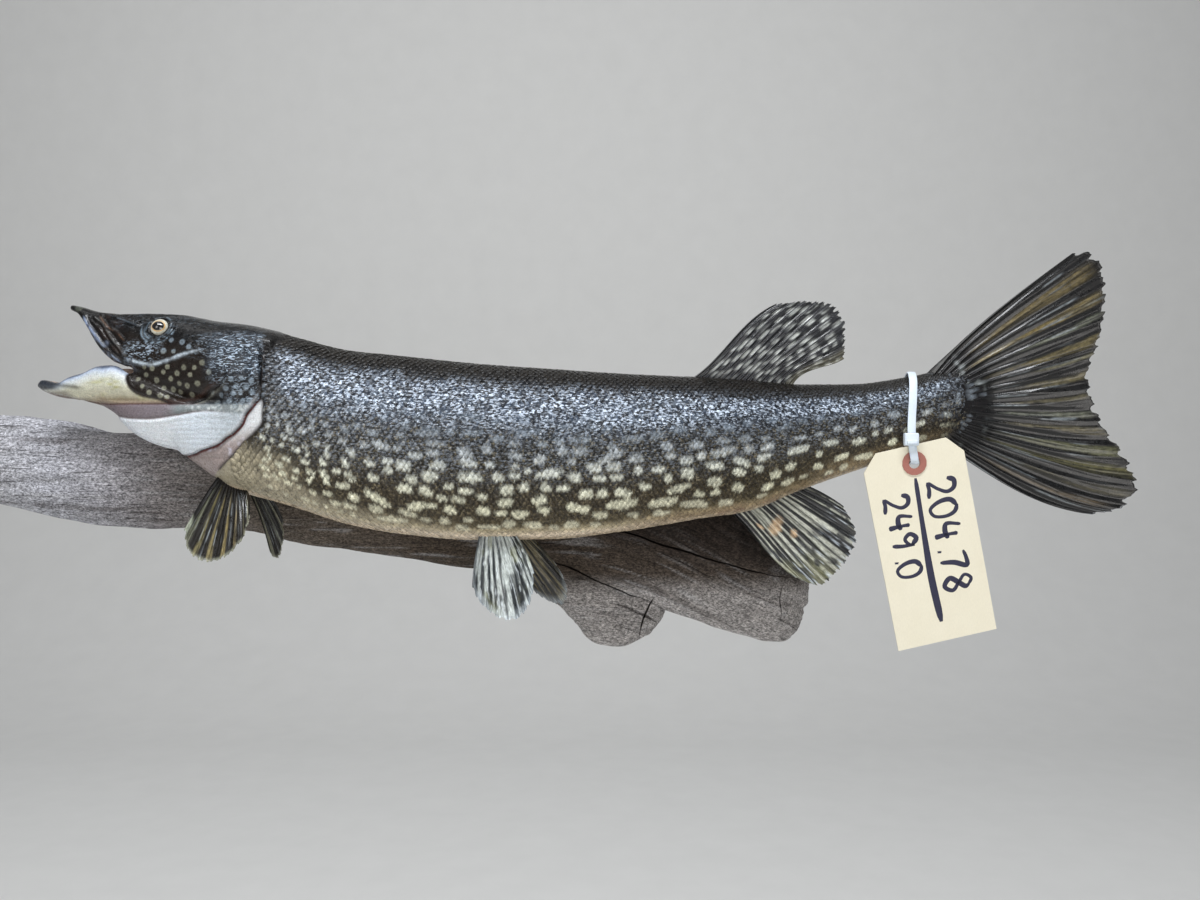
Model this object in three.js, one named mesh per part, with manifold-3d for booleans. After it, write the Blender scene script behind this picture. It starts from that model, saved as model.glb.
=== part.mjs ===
// A northern pike, mounted life-size on a length of driftwood that hangs on a wall.
// Millimetres. X runs from snout to tail, Y runs into the wall and Z is up.
// The wall is the plane y = 0, where the flat sawn back of the driftwood rests.
// The fish shows its left side to the room, so its left is towards minus Y.

import * as THREE from "three";
import { mergeVertices } from "three/addons/utils/BufferGeometryUtils.js";
import Module from "manifold-3d";

const wasm = await Module();
wasm.setup();

// ---- sizes ----------------------------------------------------------------

const GAP = 0.3; // clearance between pieces that touch
const REACH = 400; // longer than anything that is cut

const EYE_RADIUS = 6.2;
const EYE_X = -154.4;
const EYE_Z = 100.2;
const EYE_OFFSET = 13.2; // from the middle of the head to the centre of an eye

const HEAD_END = -98; // the gill openings, where the scaled trunk begins
const STEM_START = 236; // behind the dorsal and anal fins
const COVER_RAISE = 1.1; // how far a gill cover stands off the skull
const COVER_DEPTH = 1.6; // how deep it is let into it
const MEMBRANE_THICK = 1.5;

const TAG_LENGTH = 120.65; // a number 5 shipping tag, 4 3/4 by 2 3/8 inches
const TAG_WIDTH = 60.3;
const TAG_THICK = 0.8;
const TAG_CLIP_ACROSS = 9;
const TAG_CLIP_ALONG = 10;
const TAG_HOLE_INSET = 10.6;
const TAG_HOLE_RADIUS = 3.3;
const TAG_HANG = new THREE.Vector3(284.5, -62, 22.4); // the middle of its hole
const TAG_SWING = THREE.MathUtils.degToRad(12.8); // out of plumb, seen from the room
const TAG_TILT = THREE.MathUtils.degToRad(7.5); // foot towards the wall
const PATCH_RADIUS = 7.2;
const PATCH_THICK = 0.5;

const STRAP_WIDTH = 4.8; // a common cable tie
const STRAP_THICK = 1.2;
const LOCK_SIZE = new THREE.Vector3(8.6, 5, 7.6);
const LOCK_CENTRE = new THREE.Vector3(281.4, -66.8, 36.2);

const SCREW_X = [-40, 44]; // the two screws that hold the fish to the wood
const SCREW_Z = 12;
const SCREW_HEAD_RADIUS = 4.4;
const SCREW_HEAD_HEIGHT = 2.8;
const SCREW_SHANK_RADIUS = 2;
const SCREW_LENGTH = 68;
const SCREW_RECESS = 0.8;

const HANGER_X = 14;
const HANGER_Z = 18;
const HANGER_LENGTH = 32;
const HANGER_WIDTH = 15;
const HANGER_THICK = 1.6;
const HANGER_RECESS = 0.8;
const HANGER_POCKET = 9; // room behind the keyhole for the head of a wall screw
const KEYHOLE_RADIUS = 4.2;
const KEYHOLE_SLOT = 2;
const KEYHOLE_FOOT = -3;
const KEYHOLE_TOP = 5;

// ---- sections -------------------------------------------------------------
// Rows of x, top line, bottom line, half width, centre depth, height at which it
// is widest (0 is the bottom, 1 the top), roundness above and roundness below.

const HEAD = [
  [-215.5, 116.6, 113.4, 3.2, -50, 0.5, 2.2, 2.2],
  [-209, 115.4, 110.4, 7.4, -50.8, 0.3, 2.2, 3],
  [-204, 114.2, 104.6, 9.8, -51.4, 0.24, 2.2, 3.4],
  [-197, 112.9, 94, 12.4, -52.2, 0.22, 2.1, 3.6],
  [-190, 112, 85.4, 14.6, -53, 0.24, 2.1, 3.4],
  [-182, 111.2, 79.4, 16.6, -54.2, 0.28, 2.1, 3.2],
  [-173, 110.7, 76, 18.6, -55.4, 0.36, 2.2, 3],
  [-166, 110.5, 67, 20, -56.4, 0.42, 2.2, 2.6],
  [-158, 110.3, 59.6, 21.6, -57.6, 0.46, 2.2, 2.5],
  [-144, 109.2, 55, 24.6, -59.4, 0.46, 2.3, 2.3],
  [-122, 105, 51.6, 28.6, -62.6, 0.44, 2.3, 2.2],
  [-104, 102.8, 50, 30.6, -65.2, 0.42, 2.3, 2.2],
  [-84, 98.2, 49, 31.2, -67.4, 0.42, 2.3, 2.2],
];

const JAW = [
  [-236, 69.8, 67.4, 2.6, -49, 0.6, 2.2, 2.2],
  [-232, 71.8, 64.9, 6.6, -49.3, 0.6, 3, 2.2],
  [-221, 70, 61.2, 10.8, -49.8, 0.62, 3.4, 2.1],
  [-213, 73.4, 60.2, 12.8, -50.4, 0.64, 3.6, 2],
  [-203, 76, 58.9, 15, -51.4, 0.66, 3.6, 2],
  [-193, 79.7, 57.5, 17.2, -52.8, 0.68, 3.4, 2],
  [-184, 80.2, 56.8, 19, -54, 0.66, 3, 2],
  [-172, 76, 56, 21, -55.6, 0.62, 2.8, 2],
  [-156, 69, 54, 23.4, -57.8, 0.6, 2.5, 2],
  [-138, 60, 51.4, 25, -60.4, 0.6, 2.3, 2],
];

const THROAT = [
  [-206, 61.5, 58.8, 5, -51, 0.6, 2, 1.8],
  [-196, 62, 56.2, 9.2, -52.4, 0.7, 2, 1.8],
  [-190.5, 62, 53.6, 11, -53.2, 0.72, 2, 1.8],
  [-186, 62, 50.6, 12.4, -53.8, 0.73, 2, 1.8],
  [-179, 62, 42.4, 15, -54.8, 0.74, 2, 1.8],
  [-169, 62, 35.8, 18.4, -56.2, 0.76, 2, 1.8],
  [-158, 62, 31.8, 21, -57.6, 0.78, 2, 1.8],
  [-147, 62, 29.2, 23.2, -59.2, 0.78, 2, 1.8],
  [-141, 62, 24.6, 24.2, -60, 0.79, 2, 1.8],
  [-133.6, 62, 19.4, 25.4, -61, 0.8, 2, 1.8],
  [-125, 62, 13.8, 26.6, -62.2, 0.8, 2, 1.8],
  [-112, 62, 5.8, 27.8, -64, 0.8, 2, 1.9],
  [-90, 62, 0.4, 28.6, -66.8, 0.8, 2, 2],
];

const TRUNK = [
  [-112, 103.4, 7.4, 28.8, -64, 0.52, 2.3, 2.2],
  [-97, 101.2, 2.6, 30.6, -66, 0.5, 2.3, 2.2],
  [-74, 94.8, -4, 32.6, -68.2, 0.49, 2.25, 2.25],
  [-45, 87.6, -12.8, 34.2, -71.2, 0.48, 2.2, 2.3],
  [-15, 84.2, -18, 34.8, -74, 0.48, 2.2, 2.3],
  [28, 79.6, -21.4, 34.4, -76.4, 0.48, 2.2, 2.3],
  [71, 76.5, -21, 33, -76.6, 0.48, 2.2, 2.3],
  [114, 73.8, -16.6, 30.4, -74.6, 0.48, 2.2, 2.3],
  [158, 72, -9.6, 26.6, -70, 0.49, 2.2, 2.25],
  [185, 70.8, -5.8, 23.4, -65.6, 0.49, 2.15, 2.2],
  [218, 68.6, 6.4, 19.2, -59.8, 0.5, 2.1, 2.1],
  [249, 69, 16.9, 15.4, -54.4, 0.5, 2.05, 2.05],
  [287, 74.2, 28.8, 12.2, -48.2, 0.5, 2, 2],
  [311, 78.6, 36.6, 9.2, -45.6, 0.5, 2, 2],
  [325, 77, 41, 5.6, -44.2, 0.5, 2, 2],
  [334, 70, 47, 2.4, -44, 0.5, 2, 2],
];

// The open mouth, from the tip of the lower jaw back to the gullet.
const MOUTH = [
  [-229, 90, 67, 3.2, -49.4, 0.5, 4, 2.4],
  [-221, 92, 65.6, 6.4, -49.8, 0.5, 4, 2.4],
  [-206, 109.8, 65.2, 5.6, -51.2, 0.5, 2.6, 2.6],
  [-197, 100.6, 65, 9, -52.4, 0.5, 3, 2.8],
  [-190, 92.6, 64.8, 11.2, -53.2, 0.5, 3, 2.8],
  [-182, 86, 64.8, 12.8, -54.2, 0.5, 3, 2.8],
  [-172, 81, 64.8, 14.4, -55.6, 0.5, 2.6, 2.6],
  [-158, 76, 65, 13, -57.6, 0.5, 2.2, 2.2],
  [-146, 73, 67.4, 6, -59.4, 0.5, 2, 2],
];

// The driftwood: x, top, bottom and how far its front stands off the wall.
const WOOD = [
  [-312, 32, 10, 12],
  [-307, 41, 2, 24],
  [-294, 48.6, -2, 34],
  [-273, 50.4, -4, 38],
  [-236, 46.8, -12.8, 40],
  [-208, 42, -16.4, 40],
  [-118, 36, -20.4, 41],
  [-90, 35, -27.4, 42],
  [-40, 33, -34.6, 44.5],
  [22, 31.6, -42.8, 45.5],
  [74, 30.6, -42.4, 43],
  [100, 30, -53.4, 42],
  [146, 29, -72.4, 41.5],
  [187, 27, -85.4, 40],
  [206, 20, -91, 36],
  [219, 6, -88.6, 29],
  [227, -12, -80, 20],
  [232.4, -42, -64, 8],
];

// The short broken limb under it.
const LOBE = [
  [26, 0, -38, 30],
  [50, 0, -52, 33],
  [70, 0, -64, 34],
  [85, -4, -80, 34],
  [98, -8, -91.4, 32],
  [112, -12, -93.4, 30],
  [126, -20, -88.6, 27],
  [136, -30, -81, 22],
  [141, -46, -74, 13],
];

// The weathering splits in its face: start, end, width and depth.
const SPLITS = [
  [118, -20.4, 154.7, -32.6, 1.1, 9],
  [154, -32.2, 183.5, -41.1, 1.2, 9],
  [183, -40.8, 219.7, -49, 1.1, 7],
  [76, -40.2, 99.6, -51.3, 1.1, 8],
  [99, -51, 131, -64.6, 1.4, 9],
];

// ---- fins -----------------------------------------------------------------
// root and margin are lines of x, z and depth from the leading ray to the last;
// bend moves each ray's two inner thirds sideways, first and last ray given.

const FINS = {
  dorsal_fin: {
    columns: 17,
    rows: 4,
    root: [[151, 70, -70.6], [184, 65.4, -65.8], [211, 63.4, -61]],
    margin: [
      [203, 115.4, -66],
      [223, 117.8, -63],
      [238, 115.4, -61],
      [244.4, 106, -60],
      [245, 92, -58.6],
      [244.2, 83.8, -58],
    ],
    bend: [[-4.8, 7.4], [12.3, -0.7]],
    thick: [3.2, 0.9],
    colour: 0x3c3f35,
  },
  anal_fin: {
    columns: 15,
    rows: 4,
    root: [[175, -5, -67.2], [198, 3.4, -63.4], [218, 10.6, -60]],
    margin: [
      [214, -44.6, -66],
      [229, -49.6, -64],
      [241, -40.6, -62],
      [251.6, -23, -60],
      [249.6, -13.6, -59],
      [243.9, -3, -57.6],
    ],
    bend: [[1.6, -3.6], [1, 1.4]],
    thick: [3, 0.9],
    colour: 0x6a6446,
  },
  tail_fin: {
    columns: 23,
    rows: 4,
    root: [
      [303, 77.4, -46.2],
      [318, 77, -44.8],
      [328, 70, -44.4],
      [331, 58, -44.4],
      [328, 46, -44.4],
      [318, 38, -44.8],
      [305, 36, -46],
    ],
    margin: [
      [381.9, 147.4, -52],
      [392, 148.4, -52],
      [400.4, 142, -51.4],
      [403, 118, -50],
      [400.6, 96, -48.6],
      [394.4, 78, -47],
      [397.6, 57, -48],
      [408.5, 36, -49.6],
      [422.9, 10, -51.4],
      [414, -4, -52],
      [393.9, -8.4, -52],
    ],
    bend: [[5.2, 3], [-4.5, -13.5]],
    thick: [4.4, 1],
    colour: 0x6b6640,
  },
  pectoral_fin_left: {
    columns: 11,
    rows: 4,
    root: [[-118, 18.4, -70], [-112, 13.6, -71], [-106, 10.4, -72]],
    margin: [
      [-134.8, -15, -87],
      [-132.6, -27, -88],
      [-125.8, -32.6, -88],
      [-114.6, -32.6, -88],
      [-102, -21, -88],
      [-98, -7.6, -86],
    ],
    bend: [[-2.2, -0.8], [2, 1.4]],
    thick: [2.8, 0.8],
    colour: 0x5d5b3c,
  },
  pectoral_fin_right: {
    columns: 11,
    rows: 4,
    root: [[-111, 13, -60], [-104, 10, -60], [-98, 7.6, -61]],
    margin: [
      [-97.6, -29, -52],
      [-95.4, -34.6, -50.6],
      [-92.7, -35.4, -49.4],
      [-90.9, -30, -48.4],
      [-90.2, -21, -47.6],
      [-91, -12, -47.6],
    ],
    bend: [[3.4, 2], [2.4, 1.6]],
    thick: [2.6, 0.8],
    colour: 0x5d5b3c,
  },
  pelvic_fin_left: {
    columns: 11,
    rows: 4,
    root: [[34, -10, -88], [41, -11, -88.6], [48, -12, -88]],
    margin: [
      [29, -46, -97],
      [33.6, -55.4, -97.6],
      [45, -64, -98],
      [54.4, -64.4, -98],
      [61.8, -54, -97],
      [63.4, -38, -95.6],
    ],
    bend: [[-1.6, -1.4], [2.6, 2.2]],
    thick: [2.8, 0.8],
    colour: 0x6c6f63,
  },
  pelvic_fin_right: {
    columns: 11,
    rows: 4,
    root: [[38, -10, -65], [45, -11, -64.6], [51, -12, -65]],
    margin: [
      [62.4, -55, -57],
      [71, -60.6, -56.4],
      [78, -62, -56],
      [81.2, -57, -55.6],
      [79.6, -48.6, -55.6],
      [74, -38, -56],
    ],
    bend: [[-2, -2], [1, 1]],
    thick: [2.8, 0.8],
    colour: 0x5d5b3c,
  },
};

// ---- curves ---------------------------------------------------------------

// Smooth values between rows, without overshoot, at a given x.
function rowAt(rows, x) {
  const last = rows.length - 1;
  let i = 0;
  while (i < last - 1 && x > rows[i + 1][0]) {
    i += 1;
  }
  const step = rows[i + 1][0] - rows[i][0];
  const t = THREE.MathUtils.clamp((x - rows[i][0]) / step, 0, 1);
  const slope = (k, column) => {
    if (k < 0 || k >= last) {
      return null;
    }
    return (rows[k + 1][column] - rows[k][column]) / (rows[k + 1][0] - rows[k][0]);
  };
  const tangent = (k, column) => {
    const before = slope(k - 1, column);
    const after = slope(k, column);
    if (before === null || after === null) {
      return before === null ? after : before;
    }
    return before * after <= 0 ? 0 : (2 * before * after) / (before + after);
  };
  const values = [];
  for (let column = 1; column < rows[0].length; column += 1) {
    const a = rows[i][column];
    const b = rows[i + 1][column];
    const m0 = tangent(i, column) * step;
    const m1 = tangent(i + 1, column) * step;
    const h00 = 2 * t ** 3 - 3 * t ** 2 + 1;
    const h10 = t ** 3 - 2 * t ** 2 + t;
    const h01 = 3 * t ** 2 - 2 * t ** 3;
    const h11 = t ** 3 - t ** 2;
    values.push(h00 * a + h10 * m0 + h01 * b + h11 * m1);
  }
  return values;
}

const signedPower = (value, power) => Math.sign(value) * Math.abs(value) ** power;

// Positions from a to b, closer together towards an end that is rounded over.
function stationsBetween(a, b, count, roundStart, roundEnd) {
  const xs = [];
  for (let i = 0; i <= count; i += 1) {
    let t = i / count;
    if (roundStart) {
      t = t < 0.2 ? 0.2 * (1 - Math.cos((t / 0.2) * (Math.PI / 2))) : t;
    }
    if (roundEnd) {
      t = t > 0.8 ? 1 - 0.2 * (1 - Math.cos(((1 - t) / 0.2) * (Math.PI / 2))) : t;
    }
    xs.push(a + (b - a) * t);
  }
  return xs;
}

// ---- solids ---------------------------------------------------------------

function solidOf(geometry) {
  const plain = geometry.clone();
  plain.deleteAttribute("normal");
  plain.deleteAttribute("uv");
  const merged = mergeVertices(plain, 1e-4);
  const mesh = new wasm.Mesh({
    numProp: 3,
    vertProperties: new Float32Array(merged.attributes.position.array),
    triVerts: new Uint32Array(merged.index.array),
  });
  return new wasm.Manifold(mesh);
}

function geometryOf(solid) {
  const mesh = solid.getMesh();
  const geometry = new THREE.BufferGeometry();
  geometry.setAttribute("position", new THREE.BufferAttribute(mesh.vertProperties, 3));
  geometry.setIndex(new THREE.BufferAttribute(mesh.triVerts, 1));
  return geometry;
}

// Rings of points, all of one length, closed into a solid.
function loft(rings) {
  const count = rings[0].length;
  const positions = rings.flat(2);
  const faces = [];
  for (let i = 0; i + 1 < rings.length; i += 1) {
    for (let j = 0; j < count; j += 1) {
      const a = i * count + j;
      const b = i * count + ((j + 1) % count);
      faces.push(a, b, b + count, a, b + count, a + count);
    }
  }
  const ends = [rings[0], rings[rings.length - 1]];
  ends.forEach((ring, end) => {
    const hub = positions.length / 3;
    for (let k = 0; k < 3; k += 1) {
      positions.push(ring.reduce((sum, point) => sum + point[k], 0) / count);
    }
    const base = end * (rings.length - 1) * count;
    for (let j = 0; j < count; j += 1) {
      const a = base + j;
      const b = base + ((j + 1) % count);
      faces.push(hub, end ? a : b, end ? b : a);
    }
  });
  const geometry = new THREE.BufferGeometry();
  geometry.setAttribute("position", new THREE.Float32BufferAttribute(positions, 3));
  geometry.setIndex(faces);
  return solidOf(geometry);
}

// A body through its sections, grown outwards by a given amount.
function bodyLoft(rows, count, around, grow = 0, from = rows[0][0], to = rows.at(-1)[0]) {
  const start = from === rows[0][0] ? from - grow : from;
  const end = to === rows.at(-1)[0] ? to + grow : to;
  const rings = stationsBetween(start, end, count, true, true).map((x) => {
    const at = THREE.MathUtils.clamp(x, rows[0][0], rows.at(-1)[0]);
    const [top, bottom, half, centre, widest, above, below] = rowAt(rows, at);
    const middle = bottom + (top - bottom) * widest;
    const ring = [];
    for (let j = 0; j < around; j += 1) {
      const angle = (j / around) * 2 * Math.PI;
      const rise = Math.sin(angle) >= 0 ? top - middle : middle - bottom;
      const power = 2 / (Math.sin(angle) >= 0 ? above : below);
      const y = centre + (half + grow) * signedPower(Math.cos(angle), power);
      const z = middle + (rise + grow) * signedPower(Math.sin(angle), power);
      ring.push([x, y, z]);
    }
    return ring;
  });
  return loft(rings);
}

// Weathered wood: a round limb whose surface is worn into shallow waves.
function woodLoft(rows, count, around, shift) {
  const rings = stationsBetween(rows[0][0], rows.at(-1)[0], count, true, true).map((x, i) => {
    const [top, bottom, front] = rowAt(rows, x);
    const middle = (top + bottom) / 2;
    const high = (top - bottom) / 2;
    const ring = [];
    for (let j = 0; j < around; j += 1) {
      const angle = (j / around) * 2 * Math.PI;
      const worn = 1 - 0.018 * Math.sin(3 * angle + x / 31 + shift) ** 2
        - 0.014 * Math.sin(5 * angle - x / 17 + shift) ** 2;
      const y = -0.42 * front + 0.58 * front * worn * signedPower(Math.cos(angle), 0.78);
      const z = middle + high * worn * signedPower(Math.sin(angle), 0.84);
      ring.push([x, y, z]);
    }
    return ring;
  });
  return loft(rings);
}

function box(width, depth, height, x, y, z) {
  const geometry = new THREE.BoxGeometry(width, depth, height);
  geometry.translate(x, y, z);
  return solidOf(geometry);
}

// A cylinder along Y, from a starting depth out into the room.
function rod(radius, length, x, startY, z, sides = 14) {
  const geometry = new THREE.CylinderGeometry(radius, radius, length, sides);
  geometry.translate(x, startY - length / 2, z);
  return solidOf(geometry);
}

function ball(radius, detail = 8) {
  return solidOf(new THREE.SphereGeometry(radius, detail * 2, detail));
}

// An outline seen from the room, run through from one depth to another.
function prism(outline, nearY, farY) {
  const shape = new THREE.Shape(outline.map(([x, z]) => new THREE.Vector2(x, z)));
  const geometry = new THREE.ExtrudeGeometry(shape, {
    depth: farY - nearY,
    bevelEnabled: false,
  });
  geometry.rotateX(Math.PI / 2);
  geometry.translate(0, farY, 0);
  return solidOf(geometry);
}

// A smooth closed outline through a few corners.
function softOutline(corners, count) {
  const points = corners.map(([x, z]) => new THREE.Vector3(x, 0, z));
  const curve = new THREE.CatmullRomCurve3(points, true, "catmullrom", 0.5);
  return curve.getPoints(count).slice(0, count).map((point) => [point.x, point.z]);
}

const largest = (solid) => {
  const pieces = solid.decompose();
  pieces.sort((a, b) => b.volume() - a.volume());
  return pieces[0];
};

// A fin: columns run out from the root to the margin, by turns on a ray and between two.
function finSolid({ columns, rows, root, margin, bend, thick }) {
  const toPoint = ([x, z, y]) => new THREE.Vector3(x, y, z);
  const rootLine = new THREE.CatmullRomCurve3(root.map(toPoint));
  const marginLine = new THREE.CatmullRomCurve3(margin.map(toPoint));
  const grid = [];
  for (let i = 0; i < columns; i += 1) {
    const u = i / (columns - 1);
    const a = rootLine.getPointAt(u);
    const b = marginLine.getPointAt(u);
    const across = new THREE.Vector3(-(b.z - a.z), 0, b.x - a.x).normalize();
    const inner = bend[0][0] * (1 - u) ** 2 + bend[1][0] * u ** 2;
    const outer = bend[0][1] * (1 - u) ** 2 + bend[1][1] * u ** 2;
    const c = a.clone().lerp(b, 1 / 3).addScaledVector(across, inner);
    const d = a.clone().lerp(b, 2 / 3).addScaledVector(across, outer);
    // between two rays the margin is notched a little
    const end = i % 2 ? b.clone().lerp(d, 0.05) : b;
    const ray = new THREE.CubicBezierCurve3(a, c, d, end);
    const line = [];
    for (let k = 0; k <= rows; k += 1) {
      line.push(ray.getPoint(k / rows));
    }
    grid.push(line);
  }
  const sides = [[], []];
  for (let i = 0; i < columns; i += 1) {
    for (let k = 0; k <= rows; k += 1) {
      const along = grid[i][Math.min(k + 1, rows)].clone().sub(grid[i][Math.max(k - 1, 0)]);
      const next = grid[Math.min(i + 1, columns - 1)][k];
      const over = next.clone().sub(grid[Math.max(i - 1, 0)][k]);
      const normal = along.cross(over).normalize();
      const swell = i % 2 ? 0.72 : 1.1;
      const half = (THREE.MathUtils.lerp(thick[0], thick[1], k / rows) * swell) / 2;
      sides[0].push(grid[i][k].clone().addScaledVector(normal, half));
      sides[1].push(grid[i][k].clone().addScaledVector(normal, -half));
    }
  }
  const width = rows + 1;
  const total = columns * width;
  const positions = [...sides[0], ...sides[1]].flatMap((point) => [point.x, point.y, point.z]);
  const faces = [];
  const quad = (a, b, c, d) => faces.push(a, b, c, a, c, d);
  for (let i = 0; i + 1 < columns; i += 1) {
    for (let k = 0; k < rows; k += 1) {
      const a = i * width + k;
      quad(a, a + 1, a + width + 1, a + width);
      quad(total + a, total + a + width, total + a + width + 1, total + a + 1);
    }
    const top = i * width + rows;
    const foot = i * width;
    quad(top, total + top, total + top + width, top + width);
    quad(foot, foot + width, total + foot + width, total + foot);
  }
  for (let k = 0; k < rows; k += 1) {
    const last = (columns - 1) * width + k;
    quad(k, total + k, total + k + 1, k + 1);
    quad(last, last + 1, total + last + 1, total + last);
  }
  const geometry = new THREE.BufferGeometry();
  geometry.setAttribute("position", new THREE.Float32BufferAttribute(positions, 3));
  geometry.setIndex(faces);
  const solid = solidOf(geometry);
  return solid.volume() > 0 ? solid : solidOf(flipped(geometry));
}

function flipped(geometry) {
  const index = Array.from(geometry.index.array);
  for (let i = 0; i < index.length; i += 3) {
    [index[i], index[i + 1]] = [index[i + 1], index[i]];
  }
  geometry.setIndex(index);
  return geometry;
}

// ---- the fish -------------------------------------------------------------

const headLoft = (grow) => bodyLoft(HEAD, 17, 20, grow);
const jawLoft = (grow) => bodyLoft(JAW, 12, 14, grow);
const throatLoft = (grow) => bodyLoft(THROAT, 12, 14, grow);
const trunkLoft = (grow) => bodyLoft(TRUNK, 30, 20, grow);

const mouth = bodyLoft(MOUTH, 9, 10);

const coverOutline = softOutline(
  [
    [-113, 92],
    [-102, 95],
    [-92.5, 92],
    [-88.4, 82],
    [-88.6, 68],
    [-94, 56.5],
    [-104, 51.5],
    [-124, 53.5],
    [-121, 63],
    [-113.5, 76],
  ],
  22,
);

const membraneOutline = [
  [-186, 57],
  [-194, 30],
  [-160, 15],
  [-131.5, 18],
  [-130.4, 27.8],
  [-116.4, 34],
  [-105.4, 43],
  [-100.4, 51],
  [-105, 53.6],
  [-128, 52.6],
  [-152, 51.6],
  [-170, 53],
];

const headMiddle = (x) => rowAt(HEAD, x)[3];

// the whole flesh of the front end, as a tool
const frontFlesh = (grow) => headLoft(grow).add(throatLoft(grow)).add(trunkLoft(grow));

const coverTool = (grow, inset) => {
  const grown = prism(coverOutline, -REACH / 2, REACH / 2);
  const shell = grown.intersect(frontFlesh(grow)).subtract(frontFlesh(inset));
  return shell;
};

const leftHalf = box(REACH, REACH, REACH, -100, -66 - 8 - REACH / 2, 60);
const rightHalf = box(REACH, REACH, REACH, -100, -66 + 8 + REACH / 2, 60);

const covers = coverTool(COVER_RAISE, -COVER_DEPTH);
const pocketOutline = prism(coverOutline, -REACH / 2, REACH / 2);
const pockets = pocketOutline
  .intersect(frontFlesh(COVER_RAISE + 4))
  .subtract(frontFlesh(-COVER_DEPTH - GAP))
  .intersect(leftHalf.add(rightHalf));

const eyeCentre = (side) =>
  new THREE.Vector3(EYE_X, headMiddle(EYE_X) + side * EYE_OFFSET, EYE_Z);
const socket = (side) => ball(EYE_RADIUS + GAP).translate(eyeCentre(side).toArray());

const beforeGills = box(REACH, REACH, REACH, HEAD_END - GAP - REACH / 2, -60, 60);
const behindGills = box(REACH, REACH, REACH, HEAD_END + REACH / 2, -60, 60);
const beforeStem = box(REACH, REACH, REACH, STEM_START - GAP - REACH / 2, -60, 60);
const behindStem = box(REACH, REACH, REACH, STEM_START + REACH / 2, -60, 60);

const head = largest(
  headLoft(0)
    .intersect(beforeGills)
    .subtract(mouth)
    .subtract(socket(-1))
    .subtract(socket(1))
    .subtract(pockets),
);

const lowerJaw = largest(jawLoft(0).subtract(mouth).subtract(headLoft(GAP)));

const throat = largest(
  throatLoft(0)
    .intersect(beforeGills)
    .subtract(headLoft(GAP))
    .subtract(jawLoft(GAP))
    .subtract(pockets),
);

const membraneBand = prism(membraneOutline, -REACH / 2, REACH / 2);
const membrane = largest(
  membraneBand
    .intersect(throatLoft(GAP + MEMBRANE_THICK))
    .subtract(throatLoft(GAP))
    .subtract(headLoft(GAP))
    .subtract(jawLoft(GAP))
    .subtract(pocketOutline.intersect(frontFlesh(COVER_RAISE + 1))),
);

const trunk = largest(
  trunkLoft(0).intersect(behindGills).intersect(beforeStem).subtract(pockets),
);
const tailStem = largest(trunkLoft(0).intersect(behindStem));

const fleshTool = trunkLoft(GAP).add(throatLoft(GAP + 0.01).intersect(beforeGills));

const finSolids = Object.fromEntries(
  Object.entries(FINS).map(([name, fin]) => [name, largest(finSolid(fin).subtract(fleshTool))]),
);

// ---- the wood and its fittings ---------------------------------------------

const wallSide = box(1000, REACH, REACH, 0, -REACH / 2, 0);

const split = ([x0, z0, x1, z1, width, depth]) => {
  const length = Math.hypot(x1 - x0, z1 - z0);
  const geometry = new THREE.BoxGeometry(length, depth * 2, width);
  geometry.rotateY(-Math.atan2(z1 - z0, x1 - x0));
  geometry.translate((x0 + x1) / 2, -42, (z0 + z1) / 2);
  return solidOf(geometry);
};

const screwProfile = (grow) => [
  new THREE.Vector2(0, 0),
  new THREE.Vector2(SCREW_HEAD_RADIUS + grow, 0),
  new THREE.Vector2(SCREW_SHANK_RADIUS + grow, SCREW_HEAD_HEIGHT),
  new THREE.Vector2(SCREW_SHANK_RADIUS + grow, SCREW_LENGTH - 8),
  new THREE.Vector2(0.2 + grow, SCREW_LENGTH + grow),
  new THREE.Vector2(0, SCREW_LENGTH + grow),
];

// a countersunk screw with its point up Y, drawn from the face of its head
function screwSolid(grow) {
  const geometry = new THREE.LatheGeometry(screwProfile(grow), 12);
  const solid = solidOf(geometry);
  return solid.volume() > 0 ? solid : solidOf(flipped(mergeVertices(geometry, 1e-4)));
}

const screw = screwSolid(0)
  .subtract(box(6, 2, 1.2, 0, 0, 0))
  .subtract(box(1.2, 2, 6, 0, 0, 0));

// its head is sunk in the back of the wood and its point is in the fish
const screwPlace = (x) => new THREE.Vector3(x, -SCREW_RECESS, SCREW_Z);
const screwHoles = SCREW_X.map((x) =>
  screwSolid(GAP)
    .rotate([180, 0, 0])
    .translate(screwPlace(x).toArray())
    .add(rod(SCREW_HEAD_RADIUS + GAP, 3, x, 2.2 - SCREW_RECESS, SCREW_Z)),
);

// a plate with round ends, standing on end, its back at y = 0
const slotPlate = (radius, depth) =>
  rod(radius, depth, 0, 0, (HANGER_LENGTH - HANGER_WIDTH) / 2)
    .add(rod(radius, depth, 0, 0, (HANGER_WIDTH - HANGER_LENGTH) / 2))
    .add(box(radius * 2, depth, HANGER_LENGTH - HANGER_WIDTH, 0, -depth / 2, 0));

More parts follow.
